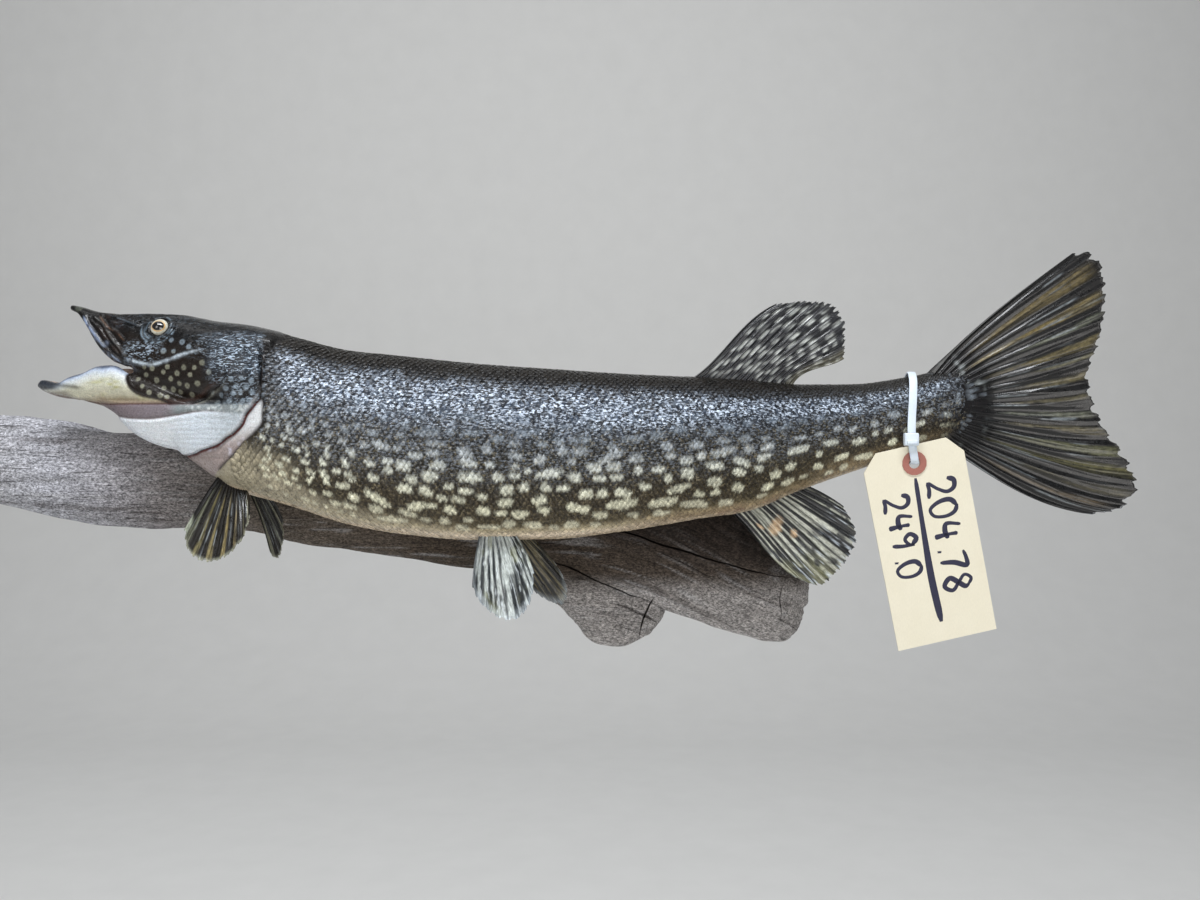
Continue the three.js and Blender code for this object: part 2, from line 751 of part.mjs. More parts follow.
const keyhole = rod(KEYHOLE_RADIUS, 8, 0, 4, KEYHOLE_FOOT)
  .add(rod(KEYHOLE_SLOT, 8, 0, 4, KEYHOLE_TOP))
  .add(
    box(
      KEYHOLE_SLOT * 2,
      8,
      KEYHOLE_TOP - KEYHOLE_FOOT,
      0,
      0,
      (KEYHOLE_FOOT + KEYHOLE_TOP) / 2,
    ),
  );
const hanger = slotPlate(HANGER_WIDTH / 2, HANGER_THICK).subtract(keyhole);
const hangerPlace = new THREE.Vector3(HANGER_X, -HANGER_RECESS, HANGER_Z);
const hangerSeat = slotPlate(HANGER_WIDTH / 2 + GAP, HANGER_THICK + GAP)
  .add(slotPlate(HANGER_WIDTH / 2 + GAP, 3).translate([0, 2.5, 0]))
  .add(box(KEYHOLE_RADIUS * 2 + 1, HANGER_POCKET, 18, 0, -HANGER_POCKET / 2, 1))
  .translate(hangerPlace.toArray());

let driftwood = woodLoft(WOOD, 26, 16, 0)
  .add(woodLoft(LOBE, 8, 12, 1.7))
  .intersect(wallSide)
  .subtract(trunkLoft(GAP))
  .subtract(throatLoft(GAP + MEMBRANE_THICK + GAP))
  .subtract(hangerSeat);
SPLITS.forEach((line) => {
  driftwood = driftwood.subtract(split(line));
});
screwHoles.forEach((hole) => {
  driftwood = driftwood.subtract(hole);
});
driftwood = largest(driftwood);

const boredTrunk = largest(screwHoles.reduce((solid, hole) => solid.subtract(hole), trunk));

// ---- the shipping tag and its tie -------------------------------------------

// The card hangs in a frame of its own: X across it, Y down it and Z towards the wall,
// from the middle of its hole.
const tagDown = new THREE.Vector3(
  Math.sin(TAG_SWING) * Math.cos(TAG_TILT),
  Math.sin(TAG_TILT),
  -Math.cos(TAG_SWING) * Math.cos(TAG_TILT),
);
const tagAcross = new THREE.Vector3(Math.cos(TAG_SWING), 0, Math.sin(TAG_SWING));
const tagInward = new THREE.Vector3().crossVectors(tagAcross, tagDown).normalize();
const tagTurn = new THREE.Matrix4().makeBasis(tagAcross, tagDown, tagInward);

// a shape cut from sheet, half its thickness on each side of z = 0
function sheet(shape, thick) {
  const geometry = new THREE.ExtrudeGeometry(shape, {
    depth: thick,
    bevelEnabled: false,
    curveSegments: 8,
  });
  geometry.translate(0, 0, -thick / 2);
  return solidOf(geometry);
}

const tagShape = new THREE.Shape();
tagShape.moveTo(-TAG_WIDTH / 2, TAG_LENGTH - TAG_HOLE_INSET);
tagShape.lineTo(-TAG_WIDTH / 2, TAG_CLIP_ALONG - TAG_HOLE_INSET);
tagShape.lineTo(-TAG_WIDTH / 2 + TAG_CLIP_ACROSS, -TAG_HOLE_INSET);
tagShape.lineTo(TAG_WIDTH / 2 - TAG_CLIP_ACROSS, -TAG_HOLE_INSET);
tagShape.lineTo(TAG_WIDTH / 2, TAG_CLIP_ALONG - TAG_HOLE_INSET);
tagShape.lineTo(TAG_WIDTH / 2, TAG_LENGTH - TAG_HOLE_INSET);
tagShape.closePath();
const tagHole = new THREE.Path();
tagHole.absarc(0, 0, TAG_HOLE_RADIUS, 0, Math.PI * 2);
tagShape.holes.push(tagHole);
const tagCard = sheet(tagShape, TAG_THICK);

const patchShape = new THREE.Shape();
patchShape.absarc(0, 0, PATCH_RADIUS, 0, Math.PI * 2);
patchShape.holes.push(tagHole);
const tagPatch = sheet(patchShape, PATCH_THICK);
const patchLift = TAG_THICK / 2 + GAP / 2 + PATCH_THICK / 2;

// the strap goes over the tail stem, down to the lock, through the tag and up the back
const strapPath = new THREE.CatmullRomCurve3(
  [
    [286.6, -48.2, 76.4],
    [285.4, -57, 71],
    [284, -61.4, 60],
    [283, -63, 50],
    [282.4, -64.4, 42],
    [282.6, -65, 33],
    [283.6, -65, 26.6],
    [284.5, -63.4, 22.7],
    [284.5, -60, 22.2],
    [285, -52, 25],
    [286, -43, 27.8],
    [286.4, -36.4, 36],
    [286.8, -34.2, 50],
    [286.8, -36.6, 64],
    [286.8, -41.4, 73.4],
  ].map(([x, y, z]) => new THREE.Vector3(x, y, z)),
  true,
);

function strapSolid() {
  const count = 36;
  const wide = new THREE.Vector3(1, 0, 0);
  const positions = [];
  for (let i = 0; i < count; i += 1) {
    const point = strapPath.getPointAt(i / count);
    const along = strapPath.getTangentAt(i / count);
    const out = new THREE.Vector3().crossVectors(wide, along).normalize();
    [[-1, -1], [1, -1], [1, 1], [-1, 1]].forEach(([across, up]) => {
      const corner = point
        .clone()
        .addScaledVector(wide, (across * STRAP_WIDTH) / 2)
        .addScaledVector(out, (up * STRAP_THICK) / 2);
      positions.push(corner.x, corner.y, corner.z);
    });
  }
  const faces = [];
  for (let i = 0; i < count; i += 1) {
    for (let j = 0; j < 4; j += 1) {
      const a = i * 4 + j;
      const b = i * 4 + ((j + 1) % 4);
      const c = ((i + 1) % count) * 4 + ((j + 1) % 4);
      const d = ((i + 1) % count) * 4 + j;
      faces.push(a, c, b, a, d, c);
    }
  }
  const geometry = new THREE.BufferGeometry();
  geometry.setAttribute("position", new THREE.Float32BufferAttribute(positions, 3));
  geometry.setIndex(faces);
  const solid = solidOf(geometry);
  return solid.volume() > 0 ? solid : solidOf(flipped(geometry));
}

const lock = box(
  LOCK_SIZE.x,
  LOCK_SIZE.y,
  LOCK_SIZE.z,
  LOCK_CENTRE.x,
  LOCK_CENTRE.y,
  LOCK_CENTRE.z,
);
const cableTie = largest(strapSolid().add(lock).subtract(trunkLoft(GAP)));

// ---- colours and names ------------------------------------------------------

const group = new THREE.Group();
group.name = "mounted_pike";

function addGroup(name) {
  const part = new THREE.Group();
  part.name = name;
  group.add(part);
  return part;
}

const fish = addGroup("fish");
const mount = addGroup("mount");
const tag = addGroup("tag");
tag.position.copy(TAG_HANG);
tag.quaternion.setFromRotationMatrix(tagTurn);

function addNode(parent, name, solid, color, roughness = 0.4, metalness = 0) {
  const material = new THREE.MeshStandardMaterial({ color, roughness, metalness });
  material.name = name;
  const mesh = new THREE.Mesh(geometryOf(solid), material);
  mesh.name = name;
  parent.add(mesh);
  return mesh;
}

addNode(fish, "head", head, 0x2b2e28, 0.35);
addNode(fish, "lower_jaw", lowerJaw, 0xa9a883, 0.35);
addNode(fish, "throat", throat, 0xb79f97, 0.5);
addNode(fish, "gill_membrane", membrane, 0xdfe4e6, 0.45);
addNode(fish, "gill_cover_left", largest(covers.intersect(leftHalf)), 0x33362e, 0.35);
addNode(fish, "gill_cover_right", largest(covers.intersect(rightHalf)), 0x33362e, 0.35);
addNode(fish, "trunk", boredTrunk, 0x4b4d3c, 0.4);
addNode(fish, "tail_stem", tailStem, 0x44463a, 0.4);
Object.entries(finSolids).forEach(([name, solid]) => {
  addNode(fish, name, solid, FINS[name].colour, 0.35);
});
[["eye_left", -1], ["eye_right", 1]].forEach(([name, side]) => {
  const eye = addNode(fish, name, ball(EYE_RADIUS), 0xd9d2b0, 0.1);
  eye.position.copy(eyeCentre(side));
});

addNode(mount, "driftwood", driftwood, 0x7d7872, 0.9);
["screw_front", "screw_rear"].forEach((name, i) => {
  const mesh = addNode(mount, name, screw, 0x9a9a98, 0.35, 1);
  mesh.position.copy(screwPlace(SCREW_X[i]));
  mesh.rotation.x = Math.PI;
});
const plate = addNode(mount, "hanger_plate", hanger, 0x9a9a98, 0.35, 1);
plate.position.copy(hangerPlace);

addNode(tag, "tag_card", tagCard, 0xe8e1cd, 0.8);
const patch = addNode(tag, "tag_patch", tagPatch, 0xa9655a, 0.8);
patch.position.z = tagInward.y < 0 ? patchLift : -patchLift;
addNode(fish, "cable_tie", cableTie, 0xdde4e8, 0.35);

export default group;
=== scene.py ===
# A northern pike, life-size, mounted along a length of driftwood that hangs on a wall.
# Lengths are in millimetres until a mesh is made; a mesh is in metres.
# X runs from snout to tail, Y into the wall and Z up; the fish shows its left side, -Y.
import math
import bpy
import numpy as np
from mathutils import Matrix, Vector


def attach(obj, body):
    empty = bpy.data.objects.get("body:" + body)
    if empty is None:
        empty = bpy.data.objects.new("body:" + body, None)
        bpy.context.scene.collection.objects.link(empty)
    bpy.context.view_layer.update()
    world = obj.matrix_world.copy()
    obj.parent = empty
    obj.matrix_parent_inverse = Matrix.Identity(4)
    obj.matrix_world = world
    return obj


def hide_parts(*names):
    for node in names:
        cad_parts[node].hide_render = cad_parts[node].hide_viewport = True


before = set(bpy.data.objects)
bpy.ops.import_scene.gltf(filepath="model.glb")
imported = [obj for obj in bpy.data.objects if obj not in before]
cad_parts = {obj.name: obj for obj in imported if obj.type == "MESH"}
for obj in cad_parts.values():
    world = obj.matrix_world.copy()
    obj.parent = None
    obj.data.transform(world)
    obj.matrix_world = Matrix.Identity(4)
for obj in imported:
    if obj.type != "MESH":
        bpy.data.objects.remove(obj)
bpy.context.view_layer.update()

MM = 0.001
COAT = 0.35  # depth of the scales over the skin
rng = np.random.default_rng(11)

# ---- sections -------------------------------------------------------------
# x, top, bottom, half width, centre depth, widest height, roundness above and below

HEAD = [
    [-215.5, 116.6, 113.4, 3.2, -50, 0.5, 2.2, 2.2],
    [-209, 115.4, 110.4, 7.4, -50.8, 0.3, 2.2, 3],
    [-204, 114.2, 104.6, 9.8, -51.4, 0.24, 2.2, 3.4],
    [-197, 112.9, 94, 12.4, -52.2, 0.22, 2.1, 3.6],
    [-190, 112, 85.4, 14.6, -53, 0.24, 2.1, 3.4],
    [-182, 111.2, 79.4, 16.6, -54.2, 0.28, 2.1, 3.2],
    [-173, 110.7, 76, 18.6, -55.4, 0.36, 2.2, 3],
    [-166, 110.5, 67, 20, -56.4, 0.42, 2.2, 2.6],
    [-158, 110.3, 59.6, 21.6, -57.6, 0.46, 2.2, 2.5],
    [-144, 109.2, 55, 24.6, -59.4, 0.46, 2.3, 2.3],
    [-122, 105, 51.6, 28.6, -62.6, 0.44, 2.3, 2.2],
    [-104, 102.8, 50, 30.6, -65.2, 0.42, 2.3, 2.2],
    [-84, 98.2, 49, 31.2, -67.4, 0.42, 2.3, 2.2],
]
JAW = [
    [-236, 69.8, 67.4, 2.6, -49, 0.6, 2.2, 2.2],
    [-232, 71.8, 64.9, 6.6, -49.3, 0.6, 3, 2.2],
    [-221, 70, 61.2, 10.8, -49.8, 0.62, 3.4, 2.1],
    [-213, 73.4, 60.2, 12.8, -50.4, 0.64, 3.6, 2],
    [-203, 76, 58.9, 15, -51.4, 0.66, 3.6, 2],
    [-193, 79.7, 57.5, 17.2, -52.8, 0.68, 3.4, 2],
    [-184, 80.2, 56.8, 19, -54, 0.66, 3, 2],
    [-172, 76, 56, 21, -55.6, 0.62, 2.8, 2],
    [-156, 69, 54, 23.4, -57.8, 0.6, 2.5, 2],
    [-138, 60, 51.4, 25, -60.4, 0.6, 2.3, 2],
]
THROAT = [
    [-206, 61.5, 58.8, 5, -51, 0.6, 2, 1.8],
    [-196, 62, 56.2, 9.2, -52.4, 0.7, 2, 1.8],
    [-190.5, 62, 53.6, 11, -53.2, 0.72, 2, 1.8],
    [-186, 62, 50.6, 12.4, -53.8, 0.73, 2, 1.8],
    [-179, 62, 42.4, 15, -54.8, 0.74, 2, 1.8],
    [-169, 62, 35.8, 18.4, -56.2, 0.76, 2, 1.8],
    [-158, 62, 31.8, 21, -57.6, 0.78, 2, 1.8],
    [-147, 62, 29.2, 23.2, -59.2, 0.78, 2, 1.8],
    [-141, 62, 24.6, 24.2, -60, 0.79, 2, 1.8],
    [-133.6, 62, 19.4, 25.4, -61, 0.8, 2, 1.8],
    [-125, 62, 13.8, 26.6, -62.2, 0.8, 2, 1.8],
    [-112, 62, 5.8, 27.8, -64, 0.8, 2, 1.9],
    [-90, 62, 0.4, 28.6, -66.8, 0.8, 2, 2],
]
TRUNK = [
    [-112, 103.4, 7.4, 28.8, -64, 0.52, 2.3, 2.2],
    [-97, 101.2, 2.6, 30.6, -66, 0.5, 2.3, 2.2],
    [-74, 94.8, -4, 32.6, -68.2, 0.49, 2.25, 2.25],
    [-45, 87.6, -12.8, 34.2, -71.2, 0.48, 2.2, 2.3],
    [-15, 84.2, -18, 34.8, -74, 0.48, 2.2, 2.3],
    [28, 79.6, -21.4, 34.4, -76.4, 0.48, 2.2, 2.3],
    [71, 76.5, -21, 33, -76.6, 0.48, 2.2, 2.3],
    [114, 73.8, -16.6, 30.4, -74.6, 0.48, 2.2, 2.3],
    [158, 72, -9.6, 26.6, -70, 0.49, 2.2, 2.25],
    [185, 70.8, -5.8, 23.4, -65.6, 0.49, 2.15, 2.2],
    [218, 68.6, 6.4, 19.2, -59.8, 0.5, 2.1, 2.1],
    [249, 69, 16.9, 15.4, -54.4, 0.5, 2.05, 2.05],
    [287, 74.2, 28.8, 12.2, -48.2, 0.5, 2, 2],
    [311, 78.6, 36.6, 9.2, -45.6, 0.5, 2, 2],
    [325, 77, 41, 5.6, -44.2, 0.5, 2, 2],
    [334, 70, 47, 2.4, -44, 0.5, 2, 2],
]
MOUTH = [
    [-229, 90, 67, 3.2, -49.4, 0.5, 4, 2.4],
    [-221, 92, 65.6, 6.4, -49.8, 0.5, 4, 2.4],
    [-206, 109.8, 65.2, 5.6, -51.2, 0.5, 2.6, 2.6],
    [-197, 100.6, 65, 9, -52.4, 0.5, 3, 2.8],
    [-190, 92.6, 64.8, 11.2, -53.2, 0.5, 3, 2.8],
    [-182, 86, 64.8, 12.8, -54.2, 0.5, 3, 2.8],
    [-172, 81, 64.8, 14.4, -55.6, 0.5, 2.6, 2.6],
    [-158, 76, 65, 13, -57.6, 0.5, 2.2, 2.2],
    [-146, 73, 67.4, 6, -59.4, 0.5, 2, 2],
]
TONGUE = [
    [-208, 66.6, 63, 2.6, -51, 0.4, 2, 2],
    [-203, 67.6, 62, 4.4, -51.4, 0.4, 2, 2],
    [-190, 68.6, 62, 5.6, -53.2, 0.4, 2, 2],
    [-170, 69.6, 62, 6.4, -55.8, 0.4, 2, 2],
    [-152, 70, 62, 6, -58.4, 0.4, 2, 2],
]
# the driftwood: x, top, bottom, and how far its front stands off the wall
WOOD = [
    [-312, 32, 10, 12],
    [-307, 41, 2, 24],
    [-294, 48.6, -2, 34],
    [-273, 50.4, -4, 38],
    [-236, 46.8, -12.8, 40],
    [-208, 42, -16.4, 40],
    [-118, 36, -20.4, 41],
    [-90, 35, -27.4, 42],
    [-40, 33, -34.6, 44.5],
    [22, 31.6, -42.8, 45.5],
    [74, 30.6, -42.4, 43],
    [100, 30, -53.4, 42],
    [146, 29, -72.4, 41.5],
    [187, 27, -85.4, 40],
    [206, 20, -91, 36],
    [219, 6, -88.6, 29],
    [227, -12, -80, 20],
    [232.4, -42, -64, 8],
]
LIMB = [
    [26, 0, -38, 30],
    [50, 0, -52, 33],
    [70, 0, -64, 34],
    [85, -4, -80, 34],
    [98, -8, -91.4, 32],
    [112, -12, -93.4, 30],
    [126, -20, -88.6, 27],
    [136, -30, -81, 22],
    [141, -46, -74, 13],
]

# ---- lines on the side of the head, x and z --------------------------------

JAW_JOINT = [(-171, 78), (-173, 73), (-172, 68.9), (-169, 64.2), (-164, 61.4), (-151, 58.6), (-142, 55)]
CHEEK_EDGE = [
    (-108, 76), (-110, 71), (-113, 66.5), (-119, 63), (-125, 59), (-132.6, 56.4), (-142, 55.2), (-150, 57),
]
COVER_TOP = [(-135, 103), (-119, 100), (-108.7, 95), (-99.6, 90.4), (-91, 86)]
GILL_EDGE = [
    (-94, 92), (-90.4, 86), (-89.4, 77), (-88.8, 69), (-88.6, 62), (-92.8, 56), (-98.2, 49.6),
    (-100, 45.2), (-104.4, 40.8), (-109.2, 37.9), (-117.8, 33), (-126.3, 30.6), (-134, 28.3), (-142, 27),
]
SHOULDER = [
    (-90.4, 92), (-88.4, 84), (-87.3, 69), (-87, 57.7), (-87.4, 49.6), (-87.8, 45), (-91.4, 40.7),
    (-99, 34), (-105.4, 28.3), (-111.2, 23.8), (-119, 18),
]
PLATE_TOP = [
    (-190, 50.4), (-182.7, 49.9), (-172, 48.5), (-158, 48), (-149, 48.8), (-140, 50), (-123, 52),
    (-109, 51), (-98, 50),
]
PLATE_FOOT = [
    (-190, 51), (-184, 44.9), (-176, 37.9), (-169, 34), (-160.4, 30.6), (-150, 28), (-134, 26.4),
    (-116, 25.4), (-98, 25),
]
JAW_FOOT = [(-238, 66), (-230, 64.6), (-211, 60.1), (-192.4, 57.2), (-170, 56.6), (-143, 56.2), (-118, 55.6)]
CHEEK_BAR = [(-170, 81.6), (-163, 79.8), (-154.8, 79), (-147, 80.6), (-140, 82.8), (-132, 85), (-123, 86.6)]
SNOUT_FOLDS = [
    [
        (-204.6, 110), (-201.3, 104.4), (-196.2, 98.6), (-190.1, 91.6), (-184, 85.6), (-176.3, 79.6),
        (-169.4, 74.4),
    ],
    [(-199, 110.6), (-195.2, 107), (-191.1, 104.4), (-187.5, 99.7), (-181.9, 93), (-178.3, 89.4), (-173, 81)],
    [(-195, 109.4), (-191.6, 106.2), (-186, 101), (-180.9, 98.4), (-178.3, 96.5), (-173.8, 91.9)],
    [(-190, 110), (-182, 107.2), (-174, 104.6), (-166, 101.6)],
]
# height, width, and depth of the grooves beside each fold
SNOUT_FOLD_SIZES = [(0.7, 0.9, 0.5), (0.5, 0.7, 0.6), (0.4, 0.6, 0.45), (0.35, 0.8, 0.3)]
# pale rings over the cheek and gill cover
RINGS = [
    (-161.3, 77.7), (-155.9, 76.8), (-160.4, 73.2), (-148.6, 74.4), (-153.5, 70), (-144, 70.5),
    (-138.6, 67.8), (-123.3, 79), (-119.1, 73.7), (-139, 63.1), (-161.9, 66.6), (-131.8, 61.4),
    (-145.7, 77.3), (-141.9, 85.9), (-136.8, 91.2), (-132.3, 88.3), (-143.8, 92.6), (-148.4, 86.5),
    (-109, 64.6), (-104.6, 61.7), (-100.2, 62), (-93.2, 62.3), (-115.7, 56.8), (-102.8, 65.6),
    (-96.9, 64.9), (-112.4, 60.7), (-131, 72.5), (-126.6, 67.4), (-107, 57.4), (-98.6, 57.4),
    (-165.4, 70.6), (-157.4, 62.8), (-149.2, 65.4), (-146.4, 60.2), (-133.6, 66.4), (-135, 76.6),
    (-128.2, 76.4), (-150.4, 61), (-143.4, 64.6), (-105.4, 69.4), (-99.4, 70.2), (-93.4, 68.4),
    (-111, 68.8), (-118, 62.4), (-94.6, 57.8), (-103, 53.4), (-110.6, 53), (-118.4, 53.6), (-139.6, 73.4),
]

EYE_RADIUS = 6.2
EYE_X = -153.8
EYE_Z = 99.6
EYE_OFFSET = 13.2
EYE_TILT = math.radians(17)
EYE_FORWARD = math.radians(-4)

# ---- fins -------------------------------------------------------------------
# root and margin are lines of x, z and depth, from the leading ray to the last

FINS = {
    "dorsal_fin": dict(
        rays=19,
        root=[[151, 70, -70.6], [184, 65.4, -65.8], [211, 63.4, -61]],
        margin=[
            [203, 115.4, -66], [223, 117.8, -63], [238, 115.4, -61],
            [244.4, 106, -60], [245, 92, -58.6], [244.2, 83.8, -58],
        ],
        bend=[[-4.8, 7.4], [12.3, -0.7]],
        thick=[3.2, 0.9],
    ),
    "anal_fin": dict(
        rays=16,
        root=[[175, -5, -67.2], [198, 3.4, -63.4], [218, 10.6, -60]],
        margin=[
            [214, -44.6, -66], [229, -49.6, -64], [241, -40.6, -62],
            [251.6, -23, -60], [249.6, -13.6, -59], [243.9, -3, -57.6],
        ],
        bend=[[1.6, -3.6], [1, 1.4]],
        thick=[3, 0.9],
    ),
    "tail_fin": dict(
        rays=19,
        root=[
            [303, 77.4, -46.2], [318, 77, -44.8], [328, 70, -44.4], [331, 58, -44.4],
            [328, 46, -44.4], [318, 38, -44.8], [305, 36, -46],
        ],
        margin=[
            [381.9, 147.4, -52], [392, 148.4, -52], [400.4, 142, -51.4], [403, 118, -50],
            [400.6, 96, -48.6], [394.4, 78, -47], [397.6, 57, -48], [408.5, 36, -49.6],
            [422.9, 10, -51.4], [414, -4, -52], [393.9, -8.4, -52],
        ],
        bend=[[5.2, 3], [-4.5, -13.5]],
        thick=[4.4, 1],
    ),
    "pectoral_fin_left": dict(
        rays=12,
        root=[[-118, 18.4, -70], [-112, 13.6, -71], [-106, 10.4, -72]],
        margin=[
            [-134.8, -15, -87], [-132.6, -27, -88], [-125.8, -32.6, -88],
            [-114.6, -32.6, -88], [-102, -21, -88], [-98, -7.6, -86],
        ],
        bend=[[-2.2, -0.8], [2, 1.4]],
        thick=[2.8, 0.8],
    ),
    "pectoral_fin_right": dict(
        rays=11,
        root=[[-111, 13, -60], [-104, 10, -60], [-98, 7.6, -61]],
        margin=[
            [-97.6, -29, -52], [-95.4, -34.6, -50.6], [-92.7, -35.4, -49.4],
            [-90.9, -30, -48.4], [-90.2, -21, -47.6], [-91, -12, -47.6],
        ],
        bend=[[3.4, 2], [2.4, 1.6]],
        thick=[2.6, 0.8],
    ),
    "pelvic_fin_left": dict(
        rays=11,
        root=[[34, -10, -88], [41, -11, -88.6], [48, -12, -88]],
        margin=[
            [29, -46, -97], [33.6, -55.4, -97.6], [45, -64, -98],
            [54.4, -64.4, -98], [61.8, -54, -97], [63.4, -38, -95.6],
        ],
        bend=[[-1.6, -1.4], [2.6, 2.2]],
        thick=[2.8, 0.8],
    ),
    "pelvic_fin_right": dict(
        rays=10,
        root=[[38, -10, -65], [45, -11, -64.6], [51, -12, -65]],
        margin=[
            [62.4, -55, -57], [71, -60.6, -56.4], [78, -62, -56],
            [81.2, -57, -55.6], [79.6, -48.6, -55.6], [74, -38, -56],
        ],
        bend=[[-2, -2], [1, 1]],
        thick=[2.8, 0.8],
    ),
}

# ---- curves, noise and colours ------------------------------------------------


def smooth(a, b, x):
    """0 before a, 1 after b, and a smooth step between."""
    t = np.clip((x - a) / (b - a), 0, 1)
    return t * t * (3 - 2 * t)


def span(x, start, full, fading, end):
    """1 from full to fading, and 0 before start and after end."""
    return smooth(start, full, x) * smooth(end, fading, x)


def bump(d, width):
    """1 at zero, fading to both sides over a width."""
    return np.exp(-((d / width) ** 2))


def power(value, exponent):
    """A power that keeps the value's sign."""
    return np.sign(value) * np.abs(value) ** exponent


def lattice(i, j, k, seed):
    """The same random value from 0 to 1 each time for a place with whole coordinates."""
    n = (i * 73856093) ^ (j * 19349663) ^ (k * 83492791) ^ (seed * 40503 + 7919)
    n = (n ^ (n >> 13)) * 1274126177
    n = (n ^ (n >> 16)) & 0xFFFFFF
    return n / 0xFFFFFF


def noise(points, size, seed=0, octaves=3):
    """Smooth random values from -1 to 1, with features of a given size along each axis."""
    total, strength = 0, 0
    for octave in range(octaves):
        q = np.asarray(points) / np.asarray(size, float) * 2**octave + 31.7 * octave
        base = np.floor(q).astype(np.int64)
        f = q - base
        f = f * f * (3 - 2 * f)
        value = 0
        for corner in range(8):
            d = [(corner >> axis) & 1 for axis in range(3)]
            weight = 1
            for axis in range(3):
                weight = weight * (f[:, axis] if d[axis] else 1 - f[:, axis])
            value = value + weight * lattice(*[base[:, axis] + d[axis] for axis in range(3)], seed)
        total = total + (2 * value - 1) * 0.5**octave
        strength += 0.5**octave
    return total / strength


def hermite(t, start, leave, end, arrive):
    """A cubic between two values with given slopes at its ends."""
    first = (2 * t**3 - 3 * t**2 + 1) * start + (t**3 - 2 * t**2 + t) * leave
    return first + (3 * t**2 - 2 * t**3) * end + (t**3 - t**2) * arrive


def section(rows, x):
    """The columns of a table at each x, smooth and without overshoot."""
    rows = np.asarray(rows, float)
    xs = rows[:, 0]
    x = np.clip(np.atleast_1d(x), xs[0], xs[-1])
    i = np.clip(np.searchsorted(xs, x, side="right") - 1, 0, len(xs) - 2)
    steps = np.diff(xs)
    slope = np.diff(rows[:, 1:], axis=0) / steps[:, None]
    tangent = np.empty_like(rows[:, 1:])
    tangent[0], tangent[-1] = slope[0], slope[-1]
    a, b = slope[:-1], slope[1:]
    same = a * b > 0
    tangent[1:-1] = np.where(same, 2 * a * b / np.where(same, a + b, 1), 0)
    t = ((x - xs[i]) / steps[i])[:, None]
    step = steps[i][:, None]
    return hermite(t, rows[i, 1:], step * tangent[i], rows[i + 1, 1:], step * tangent[i + 1])


def on_body(rows, x, angle, grow=0.0):
    """Points of a body at x and an angle round it: 0 is the wall side, 90 degrees the top."""
    top, bottom, half, centre, widest, above, below = section(rows, x).T
    middle = bottom + (top - bottom) * widest
    up = np.sin(angle) >= 0
    rise = np.where(up, top - middle, middle - bottom) + grow
    exponent = 2 / np.where(up, above, below)
    y = centre + (half + grow) * power(np.cos(angle), exponent)
    z = middle + rise * power(np.sin(angle), exponent)
    return np.stack([np.broadcast_to(x, y.shape), y, z], -1)


def body_depth(rows, p, grow=0.0):
    """How a point stands to a body's section: under 1 is inside."""
    top, bottom, half, centre, widest, above, below = section(rows, p[:, 0]).T
    middle = bottom + (top - bottom) * widest
    up = p[:, 2] >= middle
    rise = np.where(up, top - middle, middle - bottom) + grow
    exponent = np.where(up, above, below)
    y = np.abs(p[:, 1] - centre) / (half + grow)
    z = np.abs(p[:, 2] - middle) / rise
    out = y**exponent + z**exponent
    return np.where((p[:, 0] < rows[0][0] - grow) | (p[:, 0] > rows[-1][0] + grow), 9, out)


def catmull(points, t, closed=False):
    """A centripetal curve through points, at 0 to 1."""
    points = np.asarray(points, float)
    count = len(points)
    spans = count if closed else count - 1
    at = np.clip(np.asarray(t, float), 0, 1) * spans
    i = np.minimum(at.astype(int), spans - 1)
    w = (at - i)[:, None]
    if closed:
        p0, p1, p2, p3 = (points[(i + k) % count] for k in (-1, 0, 1, 2))
    else:
        padded = np.vstack([2 * points[0] - points[1], points, 2 * points[-1] - points[-2]])
        p0, p1, p2, p3 = (padded[i + k] for k in (0, 1, 2, 3))
    pairs = (p0, p1), (p1, p2), (p2, p3)
    d0, d1, d2 = (np.maximum(((b - a) ** 2).sum(1), 1e-9)[:, None] ** 0.25 for a, b in pairs)
    m1 = ((p1 - p0) / d0 - (p2 - p0) / (d0 + d1) + (p2 - p1) / d1) * d1
    m2 = ((p2 - p1) / d1 - (p3 - p1) / (d1 + d2) + (p3 - p2) / d2) * d1
    return hermite(w, p1, m1, p2, m2)


def even(points, count, closed=False):
    """Points at equal distances along the curve through others."""
    line = catmull(points, np.linspace(0, 1, 400), closed)
    length = np.concatenate([[0], np.cumsum(np.linalg.norm(np.diff(line, axis=0), axis=1))])
    at = np.linspace(0, length[-1], count + 1)[:-1] if closed else np.linspace(0, length[-1], count)
    return np.stack([np.interp(at, length, line[:, k]) for k in range(line.shape[1])], -1)


def to_line(points, x, z, reach=None):
    """Distance to a line, positive on its left going along it, and the place along it."""
    line = even(points, 5 * len(points))
    if reach is not None:
        low, high = line.min(0) - reach, line.max(0) + reach
        inside = (x > low[0]) & (x < high[0]) & (z > low[1]) & (z < high[1])
        distance, place = np.full(len(x), 99.0), np.zeros(len(x))
        if inside.any():
            distance[inside], place[inside] = to_line(points, x[inside], z[inside])
        return distance, place
    best = np.full(len(x), 1e9)
    side = np.zeros(len(x))
    place = np.zeros(len(x))
    for i in range(len(line) - 1):
        a, d = line[i], line[i + 1] - line[i]
        t = np.clip(((x - a[0]) * d[0] + (z - a[1]) * d[1]) / (d @ d), 0, 1)
        px, pz = x - a[0] - t * d[0], z - a[1] - t * d[1]
        distance = np.hypot(px, pz)
        nearer = distance < best
        best = np.where(nearer, distance, best)
        side = np.where(nearer, np.sign(d[0] * pz - d[1] * px), side)
        place = np.where(nearer, (i + t) / (len(line) - 1), place)
    return best * np.where(side == 0, 1, side), place


